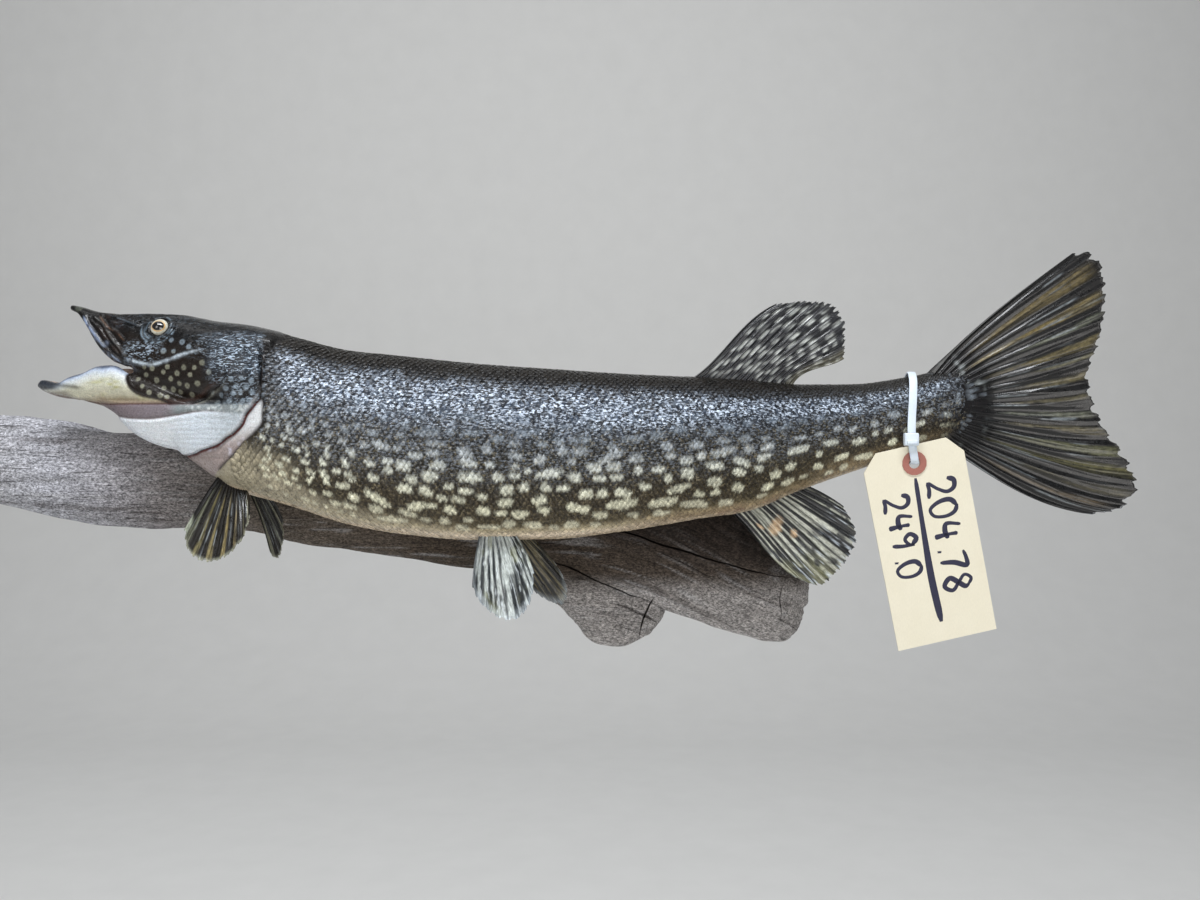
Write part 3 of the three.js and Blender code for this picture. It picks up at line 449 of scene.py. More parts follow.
def rgb(r, g, b):
    """A linear colour from the usual 0 to 255."""
    c = np.array([r, g, b], float) / 255
    return np.where(c <= 0.04045, c / 12.92, ((c + 0.055) / 1.055) ** 2.4)


def mix(base, colour, amount):
    """A colour over a base, by an amount from 0 to 1 at each point."""
    amount = np.clip(amount, 0, 1)[:, None]
    return base * (1 - amount) + np.asarray(colour) * amount


def lay(base, *layers):
    """Colours laid over a base one after another, each with its amount."""
    for colour, amount in layers:
        base = mix(base, colour, amount)
    return base


def by_height(table, height):
    """A colour that runs through a table of heights and colours."""
    at = [row[0] for row in table]
    return np.stack([np.interp(height, at, [row[1][k] for row in table]) for k in range(3)], -1)


def unit(vectors):
    """Vectors of length 1 that point the same way."""
    return vectors / np.maximum(np.linalg.norm(vectors, axis=-1, keepdims=True), 1e-9)


def turns(count):
    """Angles at equal steps round a circle."""
    return np.arange(count) / count * 2 * np.pi


# ---- meshes -----------------------------------------------------------------


def new_object(name, mesh):
    piece = bpy.data.objects.new(name, mesh)
    bpy.context.scene.collection.objects.link(piece)
    return piece


def make(name, points, faces, soft=True):
    """An object from points in millimetres and a list of arrays of corners."""
    faces = [np.asarray(f, np.int32) for f in faces if len(f)]
    corners = np.concatenate([f.ravel() for f in faces])
    sizes = np.concatenate([np.full(len(f), f.shape[1]) for f in faces])
    mesh = bpy.data.meshes.new(name)
    mesh.vertices.add(len(points))
    mesh.vertices.foreach_set("co", (np.asarray(points) * MM).astype(np.float32).ravel())
    mesh.loops.add(len(corners))
    mesh.loops.foreach_set("vertex_index", corners)
    mesh.polygons.add(len(sizes))
    mesh.polygons.foreach_set("loop_start", np.concatenate([[0], np.cumsum(sizes)[:-1]]).astype(np.int32))
    mesh.update(calc_edges=True)
    mesh.validate()
    if soft:
        mesh.shade_smooth()
    return new_object(name, mesh)


def points_of(piece):
    out = np.empty(len(piece.data.vertices) * 3, np.float32)
    piece.data.vertices.foreach_get("co", out)
    return out.reshape(-1, 3).astype(float) / MM


def normals_of(piece):
    out = np.empty(len(piece.data.vertices) * 3, np.float32)
    piece.data.vertex_normals.foreach_get("vector", out)
    return out.reshape(-1, 3).astype(float)


def set_points(piece, points):
    piece.data.vertices.foreach_set("co", (points * MM).astype(np.float32).ravel())
    piece.data.update()


def attribute(piece, name, values):
    """Values at each vertex for the materials to read: one number, a place in two, or a colour."""
    values = np.asarray(values, np.float32)
    if values.ndim == 1:
        layer = piece.data.attributes.new(name, "FLOAT", "POINT")
        layer.data.foreach_set("value", values)
    elif values.shape[1] == 2:
        layer = piece.data.attributes.new(name, "FLOAT_VECTOR", "POINT")
        full = np.column_stack([values, 0 * values[:, 0]]).astype(np.float32)
        layer.data.foreach_set("vector", full.ravel())
    else:
        layer = piece.data.attributes.new(name, "FLOAT_COLOR", "POINT")
        full = np.concatenate([values, np.ones((len(values), 1), np.float32)], 1)
        layer.data.foreach_set("color", full.ravel())


def grid_faces(rows, columns, wrap=False, offset=0, flip=False):
    """Quads between neighbouring rows and columns of points."""
    i = np.arange(rows - 1)[:, None]
    j = np.arange(columns if wrap else columns - 1)[None, :]
    a = i * columns + j
    b = i * columns + (j + 1) % columns
    quads = np.stack([a, b, b + columns, a + columns], -1).reshape(-1, 4) + offset
    return quads[:, ::-1] if flip else quads


def closed_loft(name, rings):
    """A closed body through rings of points, its faces turned outwards."""
    rings = np.asarray(rings, float)
    count, around = rings.shape[:2]
    points = np.concatenate([rings.reshape(-1, 3), rings[0].mean(0)[None], rings[-1].mean(0)[None]])
    j = np.arange(around)
    nxt = (j + 1) % around
    hub = count * around
    start = np.stack([np.full(around, hub), nxt, j], -1)
    end = np.stack([np.full(around, hub + 1), j + (count - 1) * around, nxt + (count - 1) * around], -1)
    quads = grid_faces(count, around, wrap=True)
    split = np.concatenate([quads[:, :3], quads[:, [0, 2, 3]], start, end])
    a, b, c = (points[split[:, k]] for k in range(3))
    faces = [quads, start, end]
    if (a * np.cross(b, c)).sum() < 0:
        faces = [f[:, ::-1] for f in faces]
    return make(name, points, faces)


def stations(a, b, count):
    """Places from a to b, closer together at both ends."""
    t = np.linspace(0, 1, count)
    ease = 0.2
    t = np.where(t < ease, ease * (1 - np.cos(t / ease * np.pi / 2)), t)
    return a + (b - a) * np.where(t > 1 - ease, 1 - ease * (1 - np.cos((1 - t) / ease * np.pi / 2)), t)


def body(name, rows, count, around, grow=0.0):
    """A closed loft through a table of sections."""
    xs = stations(rows[0][0] - grow, rows[-1][0] + grow, count)
    angle = turns(around)
    rings = [on_body(rows, np.full(around, x), angle, grow) for x in xs]
    return closed_loft(name, rings)


def apply(piece):
    """Carries out a piece's modifiers."""
    depsgraph = bpy.context.evaluated_depsgraph_get()
    mesh = bpy.data.meshes.new_from_object(piece.evaluated_get(depsgraph))
    piece.modifiers.clear()
    old = piece.data
    piece.data = mesh
    bpy.data.meshes.remove(old)
    return piece


def remove(*pieces):
    for piece in pieces:
        mesh = piece.data
        bpy.data.objects.remove(piece)
        bpy.data.meshes.remove(mesh)


def cut(piece, tool):
    """Takes a tool's volume out of a piece."""
    modifier = piece.modifiers.new("cut", "BOOLEAN")
    modifier.operation = "DIFFERENCE"
    modifier.solver = "MANIFOLD"
    modifier.object = tool
    apply(piece)
    remove(tool)
    return piece


def weigh(piece, name, eighths):
    """A vertex group with each vertex's weight in eighths."""
    group = piece.vertex_groups.new(name=name)
    for k in range(1, 9):
        chosen = np.nonzero(eighths == k)[0]
        if len(chosen):
            group.add(chosen.tolist(), k / 8, "REPLACE")


def join(name, pieces):
    """One object from several, without joining their surfaces."""
    points, faces, offset = [], {}, 0
    for piece in pieces:
        points.append(points_of(piece))
        for polygon in piece.data.polygons:
            faces.setdefault(len(polygon.vertices), []).append([v + offset for v in polygon.vertices])
        offset += len(piece.data.vertices)
    remove(*pieces)
    return make(name, np.concatenate(points), list(faces.values()))


def soften(piece, times, group=""):
    """Evens out a surface, where a vertex group says so if one is named."""
    modifier = piece.modifiers.new("soften", "SMOOTH")
    modifier.factor = 0.5
    modifier.iterations = times
    modifier.vertex_group = group


def fuse(name, pieces, voxel, relax):
    """One closed surface round several overlapping bodies."""
    piece = join(name, pieces)
    remesh = piece.modifiers.new("fuse", "REMESH")
    remesh.mode = "VOXEL"
    remesh.voxel_size = voxel * MM
    soften(piece, relax)
    apply(piece)
    piece.data.shade_smooth()
    return piece


# ---- materials ----------------------------------------------------------------


class Nodes:
    """A short way to write a material's nodes."""

    def __init__(self, name):
        self.material = bpy.data.materials.new(name)
        self.material.use_nodes = True
        self.tree = self.material.node_tree
        self.tree.nodes.clear()
        self.output = self.tree.nodes.new("ShaderNodeOutputMaterial")
        self.shader = self.tree.nodes.new("ShaderNodeBsdfPrincipled")
        self.link(self.shader.outputs[0], self.output.inputs[0])

    def link(self, a, b):
        self.tree.links.new(a, b)

    def put(self, socket, value):
        if isinstance(value, bpy.types.NodeSocket):
            self.link(value, socket)
        else:
            socket.default_value = value

    def set(self, **values):
        """Values or nodes for the shader's own inputs, by their names."""
        for key, value in values.items():
            self.put(self.shader.inputs[key.replace("_", " ")], value)

    def attribute(self, name, output="Color"):
        node = self.tree.nodes.new("ShaderNodeAttribute")
        node.attribute_name = name
        return node.outputs[output]

    def place(self):
        """Object coordinates in millimetres."""
        node = self.tree.nodes.new("ShaderNodeTexCoord")
        return self.stretch(node.outputs["Object"], [1000] * 3)

    def stretch(self, vector, scale):
        mapping = self.tree.nodes.new("ShaderNodeMapping")
        mapping.inputs["Scale"].default_value = scale
        self.link(vector, mapping.inputs["Vector"])
        return mapping.outputs[0]

    def noise(self, vector, scale, detail=4, rough=0.55, distortion=0.0):
        node = self.tree.nodes.new("ShaderNodeTexNoise")
        node.inputs["Scale"].default_value = scale
        node.inputs["Detail"].default_value = detail
        node.inputs["Roughness"].default_value = rough
        node.inputs["Distortion"].default_value = distortion
        self.link(vector, node.inputs["Vector"])
        return node.outputs[0]

    def ramp(self, value, *stops):
        """Numbers or colours at places from 0 to 1."""
        node = self.tree.nodes.new("ShaderNodeValToRGB")
        elements = node.color_ramp.elements
        while len(elements) < len(stops):
            elements.new(0.5)
        for element, (place, colour) in zip(elements, stops):
            element.position = place
            element.color = [colour] * 3 + [1] if isinstance(colour, (int, float)) else [*colour, 1]
        self.link(value, node.inputs[0])
        return node.outputs[0]

    def maths(self, operation, a, b=0.0):
        node = self.tree.nodes.new("ShaderNodeMath")
        node.operation = operation
        self.put(node.inputs[0], a)
        self.put(node.inputs[1], b)
        return node.outputs[0]

    def blend(self, factor, a, b, mode="MIX"):
        node = self.tree.nodes.new("ShaderNodeMix")
        node.data_type = "RGBA"
        node.blend_type = mode
        self.put(node.inputs[0], factor)
        self.put(node.inputs[6], a if isinstance(a, bpy.types.NodeSocket) else [*a, 1])
        self.put(node.inputs[7], b if isinstance(b, bpy.types.NodeSocket) else [*b, 1])
        return node.outputs[2]

    def relief(self, height, strength, depth, under=None):
        """Bump of a given depth in millimetres."""
        node = self.tree.nodes.new("ShaderNodeBump")
        node.inputs["Strength"].default_value = strength
        node.inputs["Distance"].default_value = depth * MM
        self.link(height, node.inputs["Height"])
        if under is not None:
            self.link(under, node.inputs["Normal"])
        return node.outputs[0]


def finish_piece(piece, material, slot, *replaced):
    """Gives a piece its material and hides the CAD nodes it stands for; slot is not used."""
    piece.data.materials.clear()
    piece.data.materials.append(material)
    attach(piece, "root")
    if replaced:
        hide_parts(*replaced)


# ---- places on the body -------------------------------------------------------

# lengths along the trunk's girth from its widest line, up being positive
ARC_X = np.linspace(TRUNK[0][0], TRUNK[-1][0], 90)
ARC_ANGLE = np.radians(np.linspace(-90, 90, 121))
_half_rings = np.stack([on_body(TRUNK, np.full(len(ARC_ANGLE), x), ARC_ANGLE) for x in ARC_X])
_steps = np.linalg.norm(np.diff(_half_rings, axis=1), axis=2)
ARC = np.concatenate([np.zeros((len(ARC_X), 1)), np.cumsum(_steps, axis=1)], 1)
ARC -= ARC[:, [len(ARC_ANGLE) // 2]]


def cell_of(grid, value):
    """Which cell of an even grid holds a value, and how far along the cell it is."""
    at = np.clip((value - grid[0]) / (grid[1] - grid[0]), 0, len(grid) - 1.001)
    cell = at.astype(int)
    return cell, at - cell


def arc_at(x, angle):
    """Length along the girth from the widest line."""
    a, u = cell_of(ARC_X, x)
    b, v = cell_of(ARC_ANGLE, angle)
    low = ARC[a, b] * (1 - u) + ARC[a + 1, b] * u
    high = ARC[a, b + 1] * (1 - u) + ARC[a + 1, b + 1] * u
    return low * (1 - v) + high * v


def on_side(rows, p):
    """Side, -1 or 1, height from -1 at the belly to 1 at the back, and angle round the body."""
    top, bottom, half, centre, widest, above, below = section(rows, p[:, 0]).T
    middle = bottom + (top - bottom) * widest
    up = p[:, 2] >= middle
    rise = np.where(up, top - middle, middle - bottom)
    exponent = np.where(up, above, below)
    height = np.clip((p[:, 2] - middle) / rise, -1, 1)
    out = np.clip(np.abs(p[:, 1] - centre) / half, 0, 1)
    angle = np.arctan2(power(height, exponent / 2), out ** (exponent / 2))
    return np.where(p[:, 1] < centre, -1, 1), height, angle


# ---- the pike's colours -------------------------------------------------------


def girth_place(x, height):
    """Length along the girth at a height from -1 to 1."""
    row = section(TRUNK, x)
    exponent = np.where(height > 0, row[:, 5], row[:, 6])
    return arc_at(x, np.arctan2(power(height, exponent / 2), np.sqrt(1 - np.abs(height) ** exponent)))


SPOT_TRIES = 9000
SPOT_REACH = 9  # how far a spot may go from its centre along the body
SPOT_REACH_ROUND = 7  # and round it
SPOT_SQUARENESS = 2.4


def make_spots():
    """Pale spots thrown over the flanks: side, x, girth, half length, half height, tilt, strength."""
    spots = []
    for side in (-1, 1):
        count = SPOT_TRIES
        x = rng.uniform(-88, 314, count)
        height = rng.uniform(-0.84, 0.62, count)
        near = smooth(-10, -66, x)
        stem = smooth(150, 280, x)
        low = smooth(0.0, -0.5, height)
        high = smooth(0.02, 0.3, height)
        tall = rng.uniform(1.35, 2.35, count) * (1 + 0.16 * low) * (1 - 0.4 * near) * (1 - 0.2 * stem)
        length = tall * np.clip(1.4 + 1.15 * np.abs(rng.normal(size=count)) * (1 - 0.7 * near), 1, 4.2)
        length = np.minimum(length, 8.2 - 5.2 * near)
        tilt = rng.normal(size=count) * (0.16 + 0.4 * near) - 0.22 * smooth(60, -60, x) * low
        strong = np.interp(height, [-0.84, -0.6, -0.1, 0.1, 0.3, 0.62], [0.95, 1, 0.92, 0.72, 0.46, 0.2])
        strong = strong * rng.uniform(0.75, 1, count)
        girth = girth_place(x, height)
        placed = np.zeros((0, 4))
        for k in range(count):
            gap_x = 1.7 + 1.6 * stem[k] + 1.4 * high[k] - 0.5 * near[k]
            gap_a = 1.5 + 1.3 * stem[k] + 0.8 * high[k] - 0.3 * near[k]
            dx = np.abs(placed[:, 0] - x[k]) - placed[:, 2] - length[k]
            da = np.abs(placed[:, 1] - girth[k]) - placed[:, 3] - tall[k]
            if np.all((dx > gap_x) | (da > gap_a)):
                placed = np.append(placed, [[x[k], girth[k], length[k], tall[k]]], 0)
                spots.append((side, x[k], girth[k], length[k], tall[k], tilt[k], strong[k]))
    return np.array(spots)


SPOTS = make_spots()


def spotted(p, side, arc):
    """How far each point is inside a spot, 0 to 1."""
    best = np.zeros(len(p))
    wobble = noise(p, 3.0, 5, 2) * 0.3
    order = np.argsort(p[:, 0])
    xs = p[order, 0]
    for where, x, girth, length, tall, tilt, strong in SPOTS:
        a, b = np.searchsorted(xs, [x - SPOT_REACH, x + SPOT_REACH])
        near = order[a:b]
        near = near[(side[near] == where) & (np.abs(arc[near] - girth) < SPOT_REACH_ROUND)]
        if not len(near):
            continue
        dx, da = p[near, 0] - x, arc[near] - girth
        u = (dx * math.cos(tilt) + da * math.sin(tilt)) / length
        v = (-dx * math.sin(tilt) + da * math.cos(tilt)) / tall
        out = (np.abs(u) ** SPOT_SQUARENESS + np.abs(v) ** SPOT_SQUARENESS) ** (1 / SPOT_SQUARENESS)
        best[near] = np.maximum(best[near], smooth(1.16, 0.9, out + wobble[near]) * strong)
    return best


FLANK = [
    (-1.0, rgb(240, 222, 202)), (-0.93, rgb(232, 214, 188)), (-0.87, rgb(196, 182, 150)),
    (-0.81, rgb(92, 82, 58)), (-0.72, rgb(60, 52, 36)), (-0.5, rgb(50, 43, 30)),
    (-0.25, rgb(40, 36, 28)), (0.0, rgb(34, 33, 30)),
    (0.3, rgb(32, 34, 38)), (0.55, rgb(28, 32, 40)), (0.72, rgb(16, 17, 20)), (0.86, rgb(12, 10, 9)),
    (1.0, rgb(18, 15, 12)),
]


def trunk_colour(p):
    """Colours of the trunk and tail stem, with their spots."""
    side, height, angle = on_side(TRUNK, p)
    arc = arc_at(p[:, 0], angle)
    stem = smooth(190, 260, p[:, 0])
    h = height + 0.04 * noise(p, (26, 20, 14), 2)
    colour = by_height(FLANK, h)
    colour = lay(
        colour,
        (rgb(128, 106, 72), 0.75 * smooth(90, 150, p[:, 0]) * smooth(-0.78, -0.9, h)),
        (rgb(52, 46, 36), 0.8 * stem * span(h, -0.72, -0.4, -0.3, 0.0)),
        (rgb(46, 46, 44), 0.5 * stem * smooth(-0.2, 0.5, h)),
        (rgb(140, 122, 92), 0.8 * stem * smooth(-0.5, -0.8, h)),
    )
    end = smooth(290, 314, p[:, 0])
    colour = mix(colour, rgb(28, 27, 28), end)
    colour = mix(colour, rgb(122, 130, 138), end * smooth(0.2, 0.5, noise(p, (4.6, 5, 4.2), 6, 2)) * 0.75)
    front = smooth(-60, -84, p[:, 0])
    colour = lay(
        colour,
        (rgb(30, 27, 25), 0.7 * front * smooth(-0.35, 0.1, h)),
        # a near-black painted shade just behind the gill cover
        (rgb(12, 11, 12), 0.8 * smooth(-77, -84, p[:, 0]) * smooth(0.1, 0.35, h)),
        (rgb(160, 152, 130), 0.85 * front * smooth(-0.3, -0.55, h)),
    )
    breast = smooth(-0.66, -0.8, h + 0.0014 * (p[:, 0] + 40)) * smooth(60, -70, p[:, 0])
    colour = mix(colour, rgb(168, 160, 138), breast * 0.8)
    tone = noise(p, (9, 9, 5), 3)
    dark = noise(p, (1.7, 1.2, 0.9), 7, 2)
    colour = colour * (1 + 0.25 * tone)[:, None] * (1 + 0.4 * dark * smooth(-1, -0.7, height))[:, None]
    spot = spotted(p, side, arc) * (1 - 0.9 * end)
    light = by_height([
        (-0.9, rgb(222, 216, 190)), (-0.6, rgb(228, 227, 200)), (-0.3, rgb(222, 224, 207)),
        (0.0, rgb(188, 194, 196)), (0.3, rgb(126, 140, 154)), (0.6, rgb(96, 110, 124)),
    ], height)
    light = light * (1 + 0.1 * dark)[:, None]
    colour = mix(colour, light, spot)
    belly = smooth(-0.93, -0.97, height + 0.01 * tone)
    colour = mix(colour, rgb(196, 178, 152), belly * (1 - end) * (1 - 0.4 * stem))
    flush = smooth(-0.8, -0.92, height) * smooth(120, 180, p[:, 0])
    flush *= smooth(0.1, 0.5, noise(p, (12, 9, 5), 33, 2))
    colour = mix(colour, rgb(120, 78, 66), 0.4 * flush)
    return np.clip(colour, 0, 1)


def sheen_place(p, height):
    """How much the painted highlight band along the upper flank shows, 0 to 1."""
    wavy = height + 0.05 * noise(p, (22, 9, 9), 72, 2)
    stem = smooth(90, 200, p[:, 0])
    band = smooth(0.02 + 0.1 * stem, 0.52, wavy) * smooth(0.86 - 0.1 * stem, 0.66 - 0.06 * stem, wavy)
    band = np.clip(band * (0.9 + 0.35 * noise(p, (34, 20, 9), 73, 2)), 0, 1)
    return band * smooth(318, 292, p[:, 0]) * smooth(-87, -76, p[:, 0] + 0.2 * (p[:, 2] - 76))


def head_lines(p):
    """Signed distances to the lines drawn on the side of the head, and places along them."""
    x, z = p[:, 0], p[:, 2]
    names = dict(
        joint=JAW_JOINT, cheek=CHEEK_EDGE, top=COVER_TOP, gill=GILL_EDGE, shoulder=SHOULDER, plate=PLATE_TOP,
        foot=PLATE_FOOT, jaw_foot=JAW_FOOT, bar=CHEEK_BAR,
    )
    names.update({f"fold{k}": fold for k, fold in enumerate(SNOUT_FOLDS)})
    out = {}
    for name, line in names.items():
        out[name] = to_line(line, x, z, None if name in ("gill", "shoulder", "joint", "jaw_foot") else 6)
    return out


def eye_frame(side):
    """Centre of an eye and the way it looks."""
    centre = np.array([EYE_X, section(HEAD, EYE_X)[0, 3] + side * EYE_OFFSET, EYE_Z])
    look = np.array([
        -math.sin(EYE_FORWARD),
        side * math.cos(EYE_TILT) * math.cos(EYE_FORWARD),
        math.sin(EYE_TILT) * math.cos(EYE_FORWARD),
    ])
    return centre, unit(look)


def round_eye(p, side):
    """Points from an eye's centre, their height and distance from the line it looks along, and that line."""
    centre, look = eye_frame(side)
    rel = p - centre
    height = rel @ look
    return rel, height, np.linalg.norm(rel - height[:, None] * look, axis=1), look


def ends(place, a=0.03, b=0.97):
    """1 along a line and 0 past its ends."""
    return smooth(0, a, place) * smooth(1, b, place)


def plate_place(p):
    """0 at the top of the gill membrane's pale plate and 1 at its foot."""
    top, foot = np.array(PLATE_TOP), np.array(PLATE_FOOT)
    zt = np.interp(p[:, 0], top[:, 0], top[:, 1])
    zf = np.interp(p[:, 0], foot[:, 0], foot[:, 1])
    return (zt - p[:, 2]) / np.maximum(zt - zf, 0.5)


def plate_rays(p, f):
    """The coarse and the fine rays that run along the plate, from -1 to 1."""
    coarse = f * 9 + 0.35 * noise(p, (16, 30, 5), 9, 2)
    fine = f * 23 + noise(p, (12, 30, 6), 9, 2)
    return np.cos(2 * np.pi * coarse), np.cos(2 * np.pi * fine)


# creases and ridges along the lines: height, shift to the right, width, start, end, and top
HEAD_CREASES = [
    ("shoulder", -0.9, 0, 0.7, 0.03, 0.97, 62), ("shoulder", 0.45, 3.6, 2.8, 0.3, 0.97, 60),
    ("cheek", -0.8, 0, 1.0, 0.08, 0.9, 999), ("cheek", 0.6, -2.4, 1.8, 0.08, 0.9, 999),
    ("top", -0.5, 0, 0.9, 0.1, 0.9, 999), ("foot", -0.7, 0, 0.8, 0.03, 0.9, 999),
    ("plate", -0.7, 0, 0.8, 0.02, 0.7, 999), ("plate", 0.4, 1.8, 1.2, 0.02, 0.8, 999),
    ("jaw_foot", -0.7, 0, 0.7, 0.25, 0.8, 999), ("joint", -0.4, 0, 0.8, 0.05, 0.85, 999),
    ("joint", 0.25, -2.0, 1.3, 0.05, 0.85, 999), ("bar", 0.35, 0, 1.3, 0.06, 0.94, 999),
    ("bar", -0.25, 2.4, 0.8, 0.06, 0.94, 999), ("bar", -0.25, -2.4, 0.8, 0.06, 0.94, 999),
]
HEAD_PORES = [
    (-177, 103.4), (-161, 107.2), (-146, 107.4), (-146.6, 90.6), (-160.5, 90.4), (-166, 95),
    (-120, 97), (-131, 99),
]
NOSTRILS = [(-170.4, 104.4, 0.9), (-167.2, 104.0, 1.2)]


def sculpt_head(p, n):
    """How far the skin of the head stands out from the plain body, in millimetres."""
    line = head_lines(p)
    x, z = p[:, 0], p[:, 2]
    flank = smooth(0.12, 0.4, np.abs(n[:, 1]))
    out = np.zeros(len(p))
    d, t = line["gill"]
    edge = smooth(0.0, 0.05, t)
    ragged = d + 0.5 * noise(p, (5, 30, 5), 44, 2) * smooth(0.55, 0.7, t)
    low = smooth(64, 58, z)
    gap = -(0.6 + 1.4 * low) * (1 - smooth(0.8, 2.2 + 2.2 * low, ragged))
    out += np.where(ragged < 0, smooth(-9, -0.8, ragged), gap) * edge * flank
    for name, high, shift, wide, start, end, top in HEAD_CREASES:
        d, t = line[name]
        out += high * bump(d + shift, wide) * ends(t, start, end) * smooth(top, top - 8, z) * flank
    f = plate_place(p)
    inside = span(f, 0.0, 0.08, 0.92, 1.0) * span(x, -191, -182, -108, -99)
    out += 0.08 * sum(plate_rays(p, f)) * inside * flank
    for k, (high, wide, groove) in enumerate(SNOUT_FOLD_SIZES):
        d, t = line[f"fold{k}"]
        out += high * bump(d, wide) * ends(t, 0.1, 0.9) * flank
        out -= groove * bump(np.abs(d) - 2.0, 0.8) * ends(t, 0.1, 0.9) * flank
    # the trough along the snout and the folds over the cheek and gill cover
    across = np.abs(p[:, 1] - section(HEAD, x)[:, 3])
    upper = smooth(0.5, 0.9, n[:, 2])
    out -= 0.9 * bump(across, 4) * upper * span(x, -212, -196, -160, -140)
    out += 0.5 * bump(across - 7.5, 2.2) * upper * span(x, -205, -190, -150, -128)
    wrinkled = bump(x + 140, 18) * bump(z - 74, 14) * 0.5
    wrinkled = wrinkled + span(x, -130, -118, -96, -90) * smooth(60, 72, z)
    wrinkled += span(x, -176, -168, -150, -128) * smooth(80, 90, z) * 0.8
    out += 0.4 * np.clip(wrinkled, 0, 1) * flank * noise(p, (4.6, 30, 1.5), 8, 2)
    out += 0.25 * noise(p, (7, 4, 1.5), 15, 2) * smooth(100, 106, z) * smooth(-210, -190, x)
    # pores along the jaw and the head's canals
    for k in range(5):
        out -= 0.5 * bump(np.hypot(x + 224 - 8.4 * k, z - (63.4 - 0.5 * k)), 0.7) * flank
    for hx, hz in HEAD_PORES:
        out -= 0.35 * bump(np.hypot(x - hx, z - hz), 0.6) * flank
    for nx, nz, radius in NOSTRILS:
        d = np.hypot(x - nx, z - nz)
        out += (0.45 * bump(d - radius - 0.5, 0.5) - 1.5 * smooth(radius, radius * 0.5, d)) * flank
    out += 0.1 * noise(p, 2.4, 4, 2) + 0.2 * noise(p, 8, 14, 2)
    return out


def sculpt_eye(p):
    """Lets each eye into its socket, with a rim round it and a brow over it."""
    p = p.copy()
    for side in (-1, 1):
        rel, h, r, look = round_eye(p, side)
        front = h > 0
        ball = np.sqrt(np.maximum(EYE_RADIUS**2 - r**2, 0))
        drop = np.where(front, (h - (ball - 1.5)) * (1 - smooth(5.0, 5.75, r)), 0)
        up = rel[:, 2] - h * look[2]
        rim = 0.5 * bump(r - 6.4, 0.7) + 0.5 * bump(r - 7.2, 1.3) * smooth(0, 5, up)
        under = smooth(3, -3, up)
        for away, high in ((7.6, -0.35), (8.6, 0.3), (9.6, -0.3), (10.6, 0.25)):
            rim += high * bump(r - away, 0.6) * under
        p += ((np.where(front, rim, 0) - np.maximum(drop, 0)) * (r < 14) * (h > -4))[:, None] * look
    return p


SNOUT_SPOTS = [
    (-187.3, 91.6, 2.6), (-190.6, 86.8, 2.2), (-186.6, 84.6, 2.4), (-182.6, 81.8, 1.8), (-196, 94.4, 1.6),
]
# tones along the snout's folds: colour, width and strength; partly their own colour and partly a painted
# highlight
FOLD_TONES = [
    (rgb(150, 164, 186), 0.5, 0.7), (rgb(124, 124, 122), 0.34, 0.55), (rgb(128, 98, 78), 0.3, 0.5),
    (rgb(104, 114, 124), 0.36, 0.4),
]


